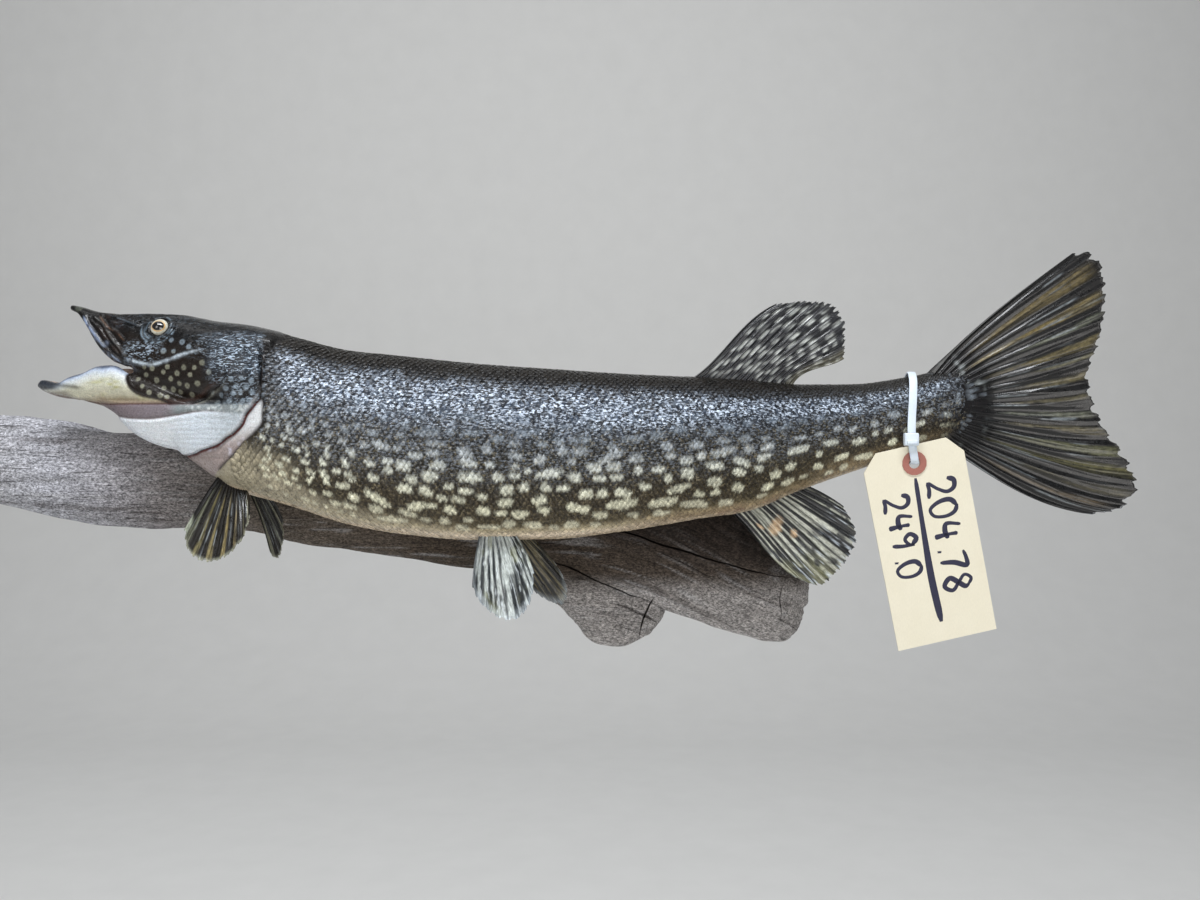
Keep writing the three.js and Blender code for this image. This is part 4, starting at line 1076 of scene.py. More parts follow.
def head_colour(p, n):
    """Colours of the head, the same on both sides."""
    line = head_lines(p)
    x, z = p[:, 0], p[:, 2]
    fine = noise(p, 2.0, 21, 3)
    broad = noise(p, 9, 22, 2)
    top, bottom = section(HEAD, x)[:, :2].T
    height = (z - bottom) / (top - bottom)
    flank = smooth(0.12, 0.4, np.abs(n[:, 1]))

    # the skull and cheek
    colour = rgb(24, 17, 12)
    colour = mix(colour, rgb(6, 6, 7), smooth(0.56, 0.78, height))
    colour = mix(colour, rgb(9, 8, 8), smooth(-168, -186, x) * 0.9)
    raw = span(x, -198, -188, -180, -172) * smooth(0.0, 0.35, noise(p, (7, 30, 4), 23, 2))
    colour = mix(colour, rgb(60, 40, 32), 0.2 * raw)
    colour = mix(colour, rgb(26, 25, 26), smooth(-124, -108, x) * 0.85 * smooth(104, 92, z))
    # a bluish tone over the upper gill cover: partly its own colour and partly a painted reflection
    cover = smooth(-126, -114, x) * span(z, 66, 76, 94, 99)
    veins = noise(p, (3.4, 30, 1.05), 8, 2) + 0.5 * noise(p, (1.6, 30, 1.6), 29, 1)
    colour = mix(colour, rgb(54, 64, 76), cover * 0.6 * (0.75 + 0.5 * broad))
    foot = smooth(60, 55, z) * smooth(-146, -132, x)
    colour = mix(colour, rgb(92, 102, 110), foot * (0.5 + 0.5 * fine) * 0.9)
    colour = colour * (1 + 0.35 * fine + 0.15 * broad)[:, None]

    # pale marks
    ring = np.zeros(len(p))
    for k, (rx, rz) in enumerate(RINGS):
        d = np.hypot((x - rx) / 1.1, z - rz) / (0.85 + 0.3 * ((k * 37) % 10) / 10) + 0.2 * fine
        strong = 0.7 + 0.3 * ((k * 53) % 7) / 7
        ring = np.maximum(ring, smooth(1.75, 1.05, d) * (0.62 + 0.38 * smooth(0.25, 0.8, d)) * strong)
    blue = smooth(-124, -112, x) * 0.8 + smooth(82, 88, z) * 0.8
    ring_tone = mix(rgb(150, 150, 132), rgb(138, 156, 174), blue)
    colour = mix(colour, ring_tone, ring * 0.8)
    for rx, rz, radius in SNOUT_SPOTS:
        blot = smooth(radius, radius * 0.4, np.hypot(x - rx, z - rz) + 0.4 * fine)
        colour = mix(colour, rgb(112, 122, 140), blot * 0.8 * flank)
    for k, (tone, wide, strength) in enumerate(FOLD_TONES):
        d, t = line[f"fold{k}"]
        broken = smooth(-0.35, 0.1, noise(p, (4, 4, 4), 24 + k, 2))
        # a painted shade in the groove beside each fold, and along the fold a paler tone, partly its own
        # colour and partly a painted highlight
        colour = mix(colour, rgb(14, 12, 12), bump(d - 1.8, 1.0) * ends(t, 0.08, 0.9) * 0.75 * flank)
        colour = mix(colour, tone, bump(d, wide) * ends(t, 0.08, 0.94) * strength * broken * flank)
    # a bluish-white painted highlight along the ridge of the upper lip
    d, t = line["fold0"]
    lip = bump(d + 0.5, 1.1) * span(t, 0.02, 0.1, 0.35, 0.5)
    colour = mix(colour, rgb(140, 156, 190), lip * (0.55 + 0.7 * fine) * flank)
    d, t = line["bar"]
    ragged = bump(d + 0.6 * fine, 0.85) * (0.55 + 0.45 * smooth(-0.5, 0.1, veins)) * (1 - 0.4 * t)
    colour = mix(colour, rgb(206, 219, 230), ragged * ends(t, 0.03, 0.85) * flank)
    fork = bump(x + 172.5, 2.4) * bump(z - 82 - 0.5 * broad, 5.5) * smooth(-0.2, 0.5, fine + 0.6 * veins)
    colour = mix(colour, rgb(188, 202, 214), fork * 0.7 * flank)
    d, t = line["cheek"]
    colour = lay(
        colour,
        (rgb(18, 14, 13), bump(d, 1.6) * ends(t, 0.06, 0.92) * 0.85),
        (rgb(84, 56, 46), bump(d + 2.2, 1.2) * ends(t, 0.5, 0.95) * 0.35),
        (rgb(150, 150, 138), bump(d - 2.0, 0.8) * ends(t, 0.45, 0.9) * (0.35 + 0.4 * fine)),
    )
    d, t = line["top"]
    colour = mix(colour, rgb(20, 19, 20), bump(d, 0.9) * ends(t, 0.08, 0.92) * 0.6)
    colour = mix(colour, rgb(70, 74, 66), smooth(3.4, 1.6, np.hypot(x + 208.6, z - 114.2)) * 0.8)

    # the jaw
    jaw_top = section(JAW, x)[:, 0]
    dj, tj = line["joint"]
    df, tf = line["jaw_foot"]
    jaw = smooth(jaw_top + 1.4, jaw_top + 0.2, z) * smooth(0.5, -0.4, dj) * smooth(-140, -146, x)
    up = np.clip((z - 57) / np.maximum(jaw_top - 57, 4), 0, 1)
    # the jaw's own pale side; its bluish-white band near the top is partly a painted highlight
    jaw_side = by_height([
        (0, rgb(146, 130, 116)), (0.12, rgb(166, 154, 130)), (0.22, rgb(204, 200, 176)),
        (0.5, rgb(212, 212, 192)), (0.72, rgb(208, 214, 214)), (0.86, rgb(176, 188, 206)),
        (0.93, rgb(96, 106, 126)), (1, rgb(44, 50, 62)),
    ], up + 0.05 * broad)
    yellow = smooth(0.1, 0.5, noise(p, (9, 30, 3), 26, 2)) * bump(up - 0.4, 0.22) * smooth(-204, -194, x)
    # painted glints: pale specks near the jaw's tip
    glints = smooth(0.3, 0.6, fine) * smooth(-205, -214, x) * smooth(66, 68, z)
    jaw_side = lay(
        jaw_side,
        (rgb(176, 172, 96), 0.7 * yellow),
        (rgb(66, 64, 54), 0.75 * bump(z - 66.6 + 0.12 * (x + 205), 1.3) * smooth(-200, -208, x)),
        (rgb(36, 40, 48), smooth(-214, -224, x) * smooth(64.4, 66.6, z + 0.5 * broad) * 0.92),
        (rgb(120, 112, 104), smooth(-208, -216, x) * smooth(66, 63.6, z) * 0.7),
        (rgb(190, 202, 214), glints * 0.6),
    )
    streaks = noise(p, (1.4, 30, 7), 27, 2)
    jaw_side = jaw_side * (1 + 0.1 * fine + 0.14 * streaks * smooth(-200, -190, x))[:, None]
    colour = mix(colour, jaw_side, jaw)
    colour = mix(colour, rgb(34, 22, 18), bump(dj, 0.8) * ends(tj, 0.02, 0.9) * 0.8 * flank)

    # the membranes under it
    throat = by_height([
        (-212, rgb(132, 118, 106)), (-185, rgb(120, 108, 112)), (-150, rgb(128, 120, 126)),
        (-128, rgb(140, 142, 144)),
    ], x)
    throat = throat * (1 + 0.08 * fine + 0.1 * noise(p, (16, 30, 2), 28, 2))[:, None]
    under = smooth(0.4, -0.4, df) * smooth(-200, -191, x)
    colour = lay(
        colour,
        (throat, under * (np.abs(x) < 230)),
        (rgb(120, 106, 96), smooth(0.4, -0.4, df) * smooth(-191, -200, x) * 0.8),
        (rgb(70, 34, 30), bump(df, 0.5) * ends(tf, 0.3, 0.84) * 0.8 * flank),
    )
    f = plate_place(p)
    mottled = smooth(-146, -138, x) * span(z, 49, 51, 54.6, 56.6)
    mottle = mix(rgb(128, 136, 138), rgb(190, 196, 196), smooth(0.0, 0.5, fine))
    colour = mix(colour, mottle, mottled * 0.9)
    plate = smooth(-0.03, 0.03, f) * span(x, -192, -184, -97, -92)
    shade = by_height([
        (-190, rgb(188, 184, 186)), (-178, rgb(234, 240, 247)), (-150, rgb(238, 244, 250)),
        (-130, rgb(218, 227, 236)), (-108, rgb(182, 190, 196)),
    ], x)
    ray, thin = plate_rays(p, f)
    shade = shade * (0.95 + 0.02 * ray + 0.035 * thin + 0.05 * fine)[:, None]
    gone = smooth(1.02, 0.98, f)
    colour = mix(colour, mix(shade, rgb(152, 138, 138), 1 - gone), plate)
    d, t = line["plate"]
    colour = mix(colour, rgb(92, 62, 58), bump(d, 0.6) * ends(t, 0.02, 0.55) * 0.7)
    d, t = line["foot"]
    colour = mix(colour, rgb(84, 60, 56), bump(d, 0.7) * ends(t, 0.03, 0.9) * 0.7)

    # behind the free edge: the gill slit, then the shoulder girdle
    d, t = line["gill"]
    d = d + 0.5 * noise(p, (5, 30, 5), 44, 2) * smooth(0.55, 0.7, t)
    ds, ts = line["shoulder"]
    gone = smooth(-0.2, 0.4, d) * smooth(0.0, 0.04, t)
    trunk = trunk_colour(p)
    band = mix(rgb(206, 208, 210), rgb(146, 126, 120), smooth(46, 30, z) * 0.8)
    band = band * (1 + 0.1 * broad)[:, None]
    # a whitish painted highlight over the middle of the band
    band_highlight = smooth(0.1, 0.6, noise(p, (3, 9, 3), 31, 2)) * span(z, 24, 30, 36, 48)
    band = mix(band, rgb(214, 210, 222), band_highlight * 0.8)
    colour = mix(colour, trunk, smooth(-0.2, 0.3, np.maximum(ds, np.where(z > 90, x + 91, -9))))
    between = gone * smooth(0.4, -0.3, ds)
    low = smooth(60, 54, z)
    colour = lay(
        colour,
        # the gill slit is painted near-black, a painted shade in the gap; its lower part shows the red gills
        (rgb(10, 8, 8), between),
        (rgb(92, 30, 24), between * low * span(d, 0.4, 1.0, 1.2, 2.8)),
        (band, between * low * smooth(1.3, 2.3, d)),
        (rgb(40, 34, 34), bump(ds, 0.6) * ends(ts, 0.05, 0.97) * 0.85),
    )
    # a pale painted highlight along the lower free edge of the gill cover
    edge = bump(d + 0.5, 0.6) * smooth(0.3, 0.4, t)
    colour = mix(colour, rgb(224, 228, 234), edge * 0.5)

    # inside the mouth
    inside = smooth(1.08, 0.98, body_depth(MOUTH, p, 0.6)) * (x > -231) * (x < -145)
    flesh = mix(rgb(178, 158, 142), rgb(96, 58, 52), smooth(-200, -160, x))
    colour = mix(colour, flesh * (1 + 0.12 * fine)[:, None], inside)
    for nx, nz, radius in NOSTRILS:
        hole = smooth(radius * 1.1, radius * 0.6, np.hypot(x - nx, z - nz))
        colour = mix(colour, rgb(8, 7, 7), hole * smooth(0.2, 0.4, np.abs(n[:, 1])))
    for side in (-1, 1):
        rel, h, r, _ = round_eye(p, side)
        # pale lines on the folds below the eye: a painted highlight
        wavy = r + 0.7 * broad
        wrinkle_glint = (bump(wavy - 8.6, 0.45) + bump(wavy - 10.6, 0.45)) * smooth(3, -3, rel[:, 2])
        wrinkle_glint = (wrinkle_glint + bump(wavy - 7.2, 0.4) * 0.5) * smooth(-0.35, 0.35, veins + fine)
        colour = mix(colour, rgb(150, 170, 186), wrinkle_glint * 0.75 * (h > 0) * (r < 13))
        colour = mix(colour, rgb(6, 5, 5), smooth(6.7, 6.0, r) * (h > -2))
    return np.clip(colour, 0, 1)


# ---- the skin -----------------------------------------------------------------

HEAD_BACK = -84
SKIN_TRIANGLES = 188000
TAIL_BASE = [
    [292, 73, 32, 9, -47.4, 0.5, 2, 2],
    [304, 78.6, 33, 8.4, -46, 0.5, 2, 2],
    [315, 82.5, 31, 6, -45.2, 0.5, 2, 2],
    [324, 85.5, 30, 3.4, -44.8, 0.5, 2, 2],
    [331, 84, 32, 1.8, -44.8, 0.5, 2, 2],
    [337, 76, 38, 0.7, -45, 0.5, 2, 2],
]


def wrinkle_glints(p, n):
    """Where fine pale creases run over the dark skin of the head: real folds, whose paleness is a painted
    highlight.
    """
    x, z = p[:, 0], p[:, 2]
    patchy = 0.75 + 0.5 * noise(p, (9, 30, 6), 34, 2)
    before_edge = smooth(-88.5, -90, x)
    cover = smooth(-124, -112, x) * span(z, 64, 74, 91, 99) * before_edge * patchy
    cover_top = smooth(-140, -122, x) * span(z, 80, 86, 92, 98) * (x < -88.5) * patchy
    snout = span(x, -177, -171, -160, -146) * span(z, 77, 84, 89, 95)
    cover_foot = smooth(-112, -104, x) * before_edge * span(z, 52, 56, 64, 72) * patchy
    crown = smooth(98, 103, z) * smooth(-190, -176, x)
    out = cover
    for part, strength in ((cover_top, 0.4), (snout, 0.62), (cover_foot, 0.5), (crown, 0.07)):
        out = np.maximum(out, strength * part)
    for side in (-1, 1):
        _, h, r, _ = round_eye(p, side)
        out[(r < 6.6) & (h > -3)] = 0
    dj = to_line(JAW_JOINT, x, z)[0]
    out[(dj < 0.5) & (x < -140) & (z < 76)] = 0
    return out * smooth(0.1, 0.35, np.abs(n[:, 1])) * (x < -84)


def fin_roots(p):
    """1 at the foot of a fin, fading round it."""
    out = np.zeros(len(p))
    for name, fin in FINS.items():
        if name == "tail_fin":
            continue
        line = even(fin["root"], 24)
        line = line[:, [0, 2, 1]]
        near = (p[:, 0] > line[:, 0].min() - 12) & (p[:, 0] < line[:, 0].max() + 12)
        q = p[near]
        d = np.min(np.linalg.norm(q[:, None] - line[None], axis=2), axis=1)
        out[near] = np.maximum(out[near], bump(d, 4.2))
    return out


def make_skin():
    voxel = 0.8
    head = cut(body("head_form", HEAD, 150, 120), body("mouth_tool", MOUTH, 60, 64))
    jaw = cut(body("jaw_form", JAW, 110, 90), body("mouth_tool", MOUTH, 60, 64))
    throat = body("throat_form", THROAT, 90, 90)
    trunk = body("trunk_form", TRUNK, 240, 120, -COAT)
    tongue = body("tongue_form", TONGUE, 50, 40)
    tail = body("tail_form", TAIL_BASE, 60, 60)
    skin = fuse("skin", [head, jaw, throat, trunk, tongue, tail], voxel, 3)
    # the mouth's corner and the tail's foot run smoothly into what is round them
    p = points_of(skin)
    weight = bump(to_line([(-173, 72), (-165, 66.5), (-154, 60.5), (-142, 55.5)], p[:, 0], p[:, 2])[0], 6.5)
    weight *= span(p[:, 0], -181, -173, -142, -134)
    weight *= smooth(0.86, 1.0, body_depth(MOUTH, p, 0.6))
    weight = np.maximum(weight, smooth(296, 306, p[:, 0]))
    nape = span(p[:, 0], -106, -98, -78, -70) * smooth(86, 92, p[:, 2])
    weight = np.maximum(weight, nape)
    weigh(skin, "soft", np.round(weight * 8).astype(int))
    soften(skin, 110, "soft")
    apply(skin)
    skin.vertex_groups.clear()
    p, n = points_of(skin), normals_of(skin)
    front = p[:, 0] < HEAD_BACK + 8
    lift = np.zeros(len(p))
    lift[front] = sculpt_head(p[front], n[front])
    lift += 0.9 * fin_roots(p) + 0.25 * noise(p, (40, 30, 22), 40, 2) * (p[:, 0] > -95)
    # behind the gill cover's free edge the head gives way to the trunk's own surface
    side, _, angle = on_side(TRUNK, p)
    bare = on_body(TRUNK, p[:, 0], np.where(side < 0, np.pi - angle, angle), -COAT)
    behind = smooth(0.3, 1.3, to_line(GILL_EDGE, p[:, 0], p[:, 2])[0]) * (p[:, 0] > -93) * (p[:, 0] < -74)
    behind *= span(p[:, 2], 57, 63, 88, 93)
    p += (bare - p) * behind[:, None]
    p = p + n * lift[:, None]
    p[front] = sculpt_eye(p[front])
    set_points(skin, p)
    count = len(skin.data.polygons) * 2
    if count > SKIN_TRIANGLES:
        weight = 0.25 + 0.75 * smooth(-84, -70, p[:, 0])
        weigh(skin, "body", (weight * 8).astype(int).clip(0, 7) + 1)
        thin = skin.modifiers.new("thin", "DECIMATE")
        thin.ratio = SKIN_TRIANGLES / count
        thin.use_collapse_triangulate = True
        thin.vertex_group = "body"
        thin.vertex_group_factor = 1.0
        apply(skin)
        skin.vertex_groups.clear()
        skin.data.shade_smooth()
    p, n = points_of(skin), normals_of(skin)
    colour = np.zeros((len(p), 3))
    front = p[:, 0] < HEAD_BACK + 8
    colour[front] = head_colour(p[front], n[front])
    colour[~front] = trunk_colour(p[~front])
    attribute(skin, "tint", colour)
    attribute(skin, "wrinkle_glint", wrinkle_glints(p, n))
    return skin


def skin_material():
    m = Nodes("pike skin")
    at = m.place()
    tint = m.attribute("tint")
    speck = m.noise(at, 1.4, 5, 0.65)
    colour = m.blend(1, tint, m.ramp(speck, (0.3, 0.66), (0.7, 1.28)), "MULTIPLY")
    grain = m.noise(at, 1.3, 4, 0.62)
    folds = m.noise(m.stretch(at, (0.16, 0.3, 0.62)), 1.0, 4, 0.6, 0.6)
    creased_glint = m.attribute("wrinkle_glint", "Fac")
    vein = m.noise(m.stretch(at, (0.24, 0.4, 0.9)), 0.95, 3, 0.55, 1.6)
    # pale bluish lines along the head's fine folds: a painted highlight; the same mask also raises their
    # relief
    pale = m.maths("MULTIPLY", creased_glint, m.ramp(vein, (0.535, 0.0), (0.6, 1.0)))
    colour = m.blend(pale, colour, rgb(190, 208, 226))
    rough = m.ramp(m.noise(at, 0.5, 3), (0.3, 0.22), (0.7, 0.38))
    bumps = m.relief(m.maths("MULTIPLY", creased_glint, vein), 0.8, 1.2)
    bumps = m.relief(folds, 0.55, 0.7, bumps)
    bumps = m.relief(grain, 0.4, 0.3, bumps)
    m.set(
        Base_Color=colour, Roughness=rough, Normal=bumps, IOR=1.33, Coat_Weight=0.22, Coat_Roughness=0.08,
        Subsurface_Weight=0.06, Subsurface_Radius=(0.002, 0.001, 0.0006),
    )
    return m.material


skin = make_skin()
finish_piece(
    skin, skin_material(), "head", "head", "lower_jaw", "throat", "gill_membrane", "gill_cover_left",
    "gill_cover_right", "trunk", "tail_stem",
)

# ---- scales ---------------------------------------------------------------------

SCALE_RIM = [
    (-0.8, -0.5), (0.7, -0.98), (2.1, -0.97), (3.3, -0.62), (3.85, 0),
    (3.3, 0.62), (2.1, 0.97), (0.7, 0.98), (-0.8, 0.5),
]
SCALE_INNER = [(0.9, 0), (2.5, 0)]
SCALE_TOP = [
    (8, 0, 9), (0, 1, 9), (1, 2, 9), (2, 10, 9), (2, 3, 10), (3, 4, 10), (4, 5, 10), (5, 6, 10),
    (6, 9, 10), (6, 7, 9), (7, 8, 9),
]
SCALE_PITCH = 3.3
SCALE_ROW = 2.5
SCALES_FROM = -108.0
SCALES_TO = 324


def girth_angle(x, arc):
    """The angle round the trunk at a length along its girth."""
    out = np.empty(len(x))
    cells, along = cell_of(ARC_X, x)
    for cell in np.unique(cells):
        here = cells == cell
        t = along[here][:, None]
        rows = ARC[cell] * (1 - t) + ARC[cell + 1] * t
        j = np.clip((rows < arc[here][:, None]).sum(1) - 1, 0, len(ARC_ANGLE) - 2)
        k = np.arange(len(j))
        f = (arc[here] - rows[k, j]) / (rows[k, j + 1] - rows[k, j])
        out[here] = ARC_ANGLE[j] + np.clip(f, 0, 1) * (ARC_ANGLE[1] - ARC_ANGLE[0])
    return out


def on_trunk(x, arc, side, grow):
    angle = girth_angle(x, arc)
    return on_body(TRUNK, x, np.where(side < 0, np.pi - angle, angle), grow)


def scale_places():
    """Where the scales are rooted, in quincunx: x, arc, side, and the spacing of the rows there."""
    grid = np.linspace(-112, 330, 443)
    half = np.interp(grid, ARC_X, (ARC[:, -1] - ARC[:, 0]) / 2)
    spacing = SCALE_ROW * (half / half.max()) ** 0.6
    step = SCALE_PITCH * spacing / SCALE_ROW
    xs = [SCALES_FROM]
    while xs[-1] < SCALES_TO:
        xs.append(xs[-1] + np.interp(xs[-1], grid, step))
    xs = np.array(xs)
    out = []
    for row in range(-40, 41):
        x = xs if row % 2 == 0 else (xs[:-1] + xs[1:]) / 2
        w = np.interp(x, grid, spacing)
        arc = row * w
        top = np.interp(x, ARC_X, ARC[:, -1])
        foot = np.interp(x, ARC_X, ARC[:, 0])
        keep = (arc < top - 0.3 * w) & (arc > foot + 0.3 * w)
        out.append(np.stack([x[keep], arc[keep], w[keep]], -1))
    out = np.concatenate(out)
    return np.concatenate([np.column_stack([out, np.full(len(out), side)]) for side in (-1, 1)])


def make_scales():
    places = scale_places()
    x, arc, w, side = places.T
    root = on_trunk(x, arc, side, 0)
    ds = to_line(SHOULDER, root[:, 0], root[:, 2])[0]
    nape = x > -103 + 4 * noise(root, 9, 61, 1)
    tail = x < 318 + 6 * noise(root, 6, 62, 2)
    z = root[:, 2]
    keep = np.where(z > 91, nape & ((x > -90) | (z > 93.5)), ds > np.where(z > 58, -0.5, 0.7))
    keep &= tail & ~((z < 20) & (ds < 2.5))
    jitter = rng.normal(size=(len(x), 3))
    places, root, jitter = places[keep], root[keep], jitter[keep]
    places[:, 0] += 0.22 * jitter[:, 1]
    places[:, 1] += 0.12 * jitter[:, 2]
    x, arc, w, side = places.T
    root = on_trunk(x, arc, side, 0)
    ahead = on_trunk(np.minimum(x + 1.5, 333), arc, side, 0) - on_trunk(x - 1.5, arc, side, 0)
    across = on_trunk(x, arc + 0.6, side, 0) - on_trunk(x, arc - 0.6, side, 0)
    ahead = unit(ahead)
    across -= (across * ahead).sum(1)[:, None] * ahead
    across = unit(across)
    normal = np.cross(ahead, across) * side[:, None]
    ring = section(TRUNK, x)
    out = root - np.stack([root[:, 0], ring[:, 3], 0.5 * (ring[:, 0] + ring[:, 1])], -1)
    normal *= np.sign((normal * out).sum(1))[:, None]

    shape = np.array(SCALE_RIM + SCALE_INNER)
    count, edge = len(shape), len(SCALE_RIM)
    rise = -0.32 + (shape[:, 0] + 0.8) / 4.65 * 0.36
    rise[edge:] += 0.09
    rise[[0, edge - 1]] -= 0.05
    size = (w / SCALE_ROW)[:, None]
    turn = 0.05 * jitter[:, 2:3]
    u = shape[None, :, 0] * size
    v = shape[None, :, 1] * w[:, None] * 1.02
    u, v = u - turn * v, v + turn * u
    lift = rise[None, :] * (0.75 + 0.25 * size) + 0.05 * jitter[:, :1] * (shape[None, :, 0] > 1)
    top = root[:, None] + u[..., None] * ahead[:, None] + v[..., None] * across[:, None]
    top = top + lift[..., None] * normal[:, None]
    rim = top[:, :edge] - 0.13 * normal[:, None]
    points = np.concatenate([top, rim], 1)
    per = points.shape[1]
    faces = [list(f) for f in SCALE_TOP]
    for k in range(edge):
        n = (k + 1) % edge
        faces += [[k, k + count, n + count], [k, n + count, n]]
    for k in range(1, edge - 1):
        faces.append([count, count + k + 1, count + k])
    faces = np.array(faces)

    # colours: the skin's markings, the tip of each scale a little apart, and a painted highlight band
    flat = top.reshape(-1, 3)
    tint = trunk_colour(flat).reshape(len(top), count, 3)
    height = on_side(TRUNK, root)[1]
    shade = 1 + 0.14 * jitter[:, 0]
    tint *= shade[:, None, None]
    tipness = smooth(1.6, 3.7, shape[:, 0])[None, :, None]
    rimness = (np.arange(count) < edge)[None, :, None]
    back = smooth(0.35, 0.75, height)[:, None, None]
    # a painted highlight: scales in the band along the upper flank are tinted bluish-white
    sheen = sheen_place(root, height)
    glint = rng.uniform(size=len(x)) ** 1.4
    amount = (glint * 0.34 * sheen)[:, None, None] * (0.3 + 0.7 * tipness)
    tint = tint * (1 - amount) + rgb(132, 156, 190) * amount
    amount = 0.2 * back * tipness * rimness * np.clip(0.6 + 0.4 * jitter[:, 1], 0, 1)[:, None, None]
    tint = tint * (1 - amount) + amount * rgb(104, 94, 80)
    full = np.concatenate([tint, tint[:, :edge] * 0.6], 1)
    # flash sets where the material paints bright glints into the colour, a painted highlight, and how strong
    # the coat is
    flash = (sheen * np.clip(0.75 + 0.35 * jitter[:, 0], 0.1, 1))[:, None] * np.ones((1, per))
    flash = np.maximum(flash, 0.16 * (span(height, -0.5, 0.0, 0.6, 0.9))[:, None])
    fleck = (span(height, -0.95, -0.85, 0.1, 0.5))[:, None] * np.ones((1, per))
    gloss = np.clip(0.5 + 0.3 * jitter[:, 1], 0, 1)[:, None] * np.ones((1, per))

    pieces = []
    for name, where in (("left", -1), ("right", 1)):
        for part, a, b in (("front", -130, 40), ("middle", 40, 160), ("rear", 160, 340)):
            chosen = (side == where) & (x >= a) & (x < b)
            number = int(chosen.sum())
            corners = (faces[None] + np.arange(number)[:, None, None] * per).reshape(-1, 3)
            flip = (np.cross(across, normal) * ahead).sum(1)[chosen] < 0
            corners = corners.reshape(number, -1, 3)
            corners[flip] = corners[flip][:, :, ::-1]
            piece = make(f"scales_{name}_{part}", points[chosen].reshape(-1, 3), [corners.reshape(-1, 3)])
            attribute(piece, "tint", np.clip(full[chosen].reshape(-1, 3), 0, 1))
            attribute(piece, "gloss", gloss[chosen].ravel())
            attribute(piece, "flash", flash[chosen].ravel())
            attribute(piece, "fleck", fleck[chosen].ravel())
            place_x = (x[chosen] - a) / (b - a)
            place_a = arc[chosen] / 150 + 0.5
            local = np.concatenate([shape, shape[:edge]])
            uv = np.stack([
                0.02 + 0.95 * place_x[:, None] + 0.0006 * local[None, :, 0],
                place_a[:, None] + 0.0015 * local[None, :, 1],
            ], -1).reshape(-1, 2)
            layer = piece.data.uv_layers.new(name="OFBake")
            index = np.empty(len(piece.data.loops), np.int32)
            piece.data.loops.foreach_get("vertex_index", index)
            layer.data.foreach_set("uv", uv[index].astype(np.float32).ravel())
            pieces.append(piece)
    return pieces


def scale_material():
    m = Nodes("pike scales")
    at = m.place()
    tint = m.attribute("tint")
    speck = m.noise(at, 1.7, 4, 0.7)
    colour = m.blend(1, tint, m.ramp(speck, (0.32, 0.62), (0.68, 1.32)), "MULTIPLY")
    pepper = m.noise(at, 0.62, 4, 0.7)
    dots = m.maths("MULTIPLY", m.attribute("fleck", "Fac"), m.ramp(pepper, (0.53, 0.0), (0.64, 0.42)))
    colour = m.blend(dots, colour, rgb(150, 138, 108))
    colour = m.blend(m.ramp(pepper, (0.36, 0.5), (0.46, 0.0)), colour, rgb(16, 13, 10))
    # painted glints: bluish-white flecks mixed into the colour where flash is set
    flash = m.attribute("flash", "Fac")
    sparkle = m.ramp(m.noise(m.stretch(at, (0.5, 1, 1.15)), 0.9, 3, 0.7), (0.505, 0.0), (0.56, 1.0))
    colour = m.blend(m.maths("MULTIPLY", flash, sparkle), colour, rgb(218, 232, 250))
    gloss = m.attribute("gloss", "Fac")
    uneven = m.maths("ADD", gloss, m.maths("MULTIPLY", m.noise(at, 0.8, 3), 0.4))
    rough = m.ramp(uneven, (0.3, 0.2), (1.0, 0.42))
    growth = m.noise(at, 0.9, 5, 0.7)
    coat = m.maths("ADD", m.maths("MULTIPLY", flash, 0.35), 0.1)
    m.set(
        Base_Color=colour, Roughness=rough, Normal=m.relief(growth, 0.6, 0.35),
        IOR=1.34, Coat_Weight=coat, Coat_Roughness=0.08,
    )
    return m.material


scales = make_scales()
_scales = scale_material()
for piece in scales:
    finish_piece(piece, _scales, "trunk")

# ---- fins -----------------------------------------------------------------------

# streaks along a fin: place across it, half width, start, end, colour
STREAKS = {
    "tail_fin": [
        (0.105, 0.034, 0.2, 0.95, rgb(126, 112, 74)), (0.2, 0.03, 0.14, 0.98, rgb(138, 122, 74)),
        (0.262, 0.014, 0.42, 1.0, rgb(110, 114, 98)), (0.335, 0.026, 0.22, 1.0, rgb(128, 116, 76)),
        (0.385, 0.012, 0.5, 1.02, rgb(120, 116, 92)), (0.445, 0.018, 0.42, 1.02, rgb(112, 104, 76)),
        (0.51, 0.013, 0.3, 1.0, rgb(104, 98, 76)), (0.565, 0.016, 0.2, 0.96, rgb(124, 126, 110)),
        (0.625, 0.02, 0.25, 1.0, rgb(116, 108, 82)), (0.7, 0.028, 0.22, 1.02, rgb(122, 122, 92)),
        (0.775, 0.03, 0.18, 1.02, rgb(114, 110, 74)), (0.85, 0.018, 0.3, 1.0, rgb(92, 86, 62)),
        (0.91, 0.022, 0.22, 0.92, rgb(116, 102, 80)),
    ],
    "pectoral_fin_left": [
        (0.12, 0.05, 0.3, 1.1, rgb(120, 122, 104)), (0.27, 0.035, 0.25, 1.1, rgb(130, 122, 86)),
        (0.4, 0.035, 0.2, 1.1, rgb(136, 124, 84)), (0.54, 0.035, 0.25, 1.1, rgb(138, 124, 82)),
        (0.68, 0.03, 0.3, 1.1, rgb(124, 112, 82)), (0.82, 0.04, 0.35, 1.1, rgb(112, 108, 88)),
        (0.94, 0.03, 0.3, 1.1, rgb(128, 126, 108)),
    ],
    "pectoral_fin_right": [
        (0.2, 0.08, 0.1, 1.1, rgb(116, 116, 96)), (0.5, 0.06, 0.2, 1.1, rgb(120, 122, 112)),
        (0.78, 0.08, 0.2, 1.1, rgb(126, 124, 104)),
    ],
}


ORANGE_STAINS = [  # across the fin, along its rays, length, width and lean
    (0.31, 0.31, 0.24, 0.06, -0.2), (0.38, 0.46, 0.1, 0.04, -0.2), (0.16, 0.26, 0.06, 0.04, 0.3),
]


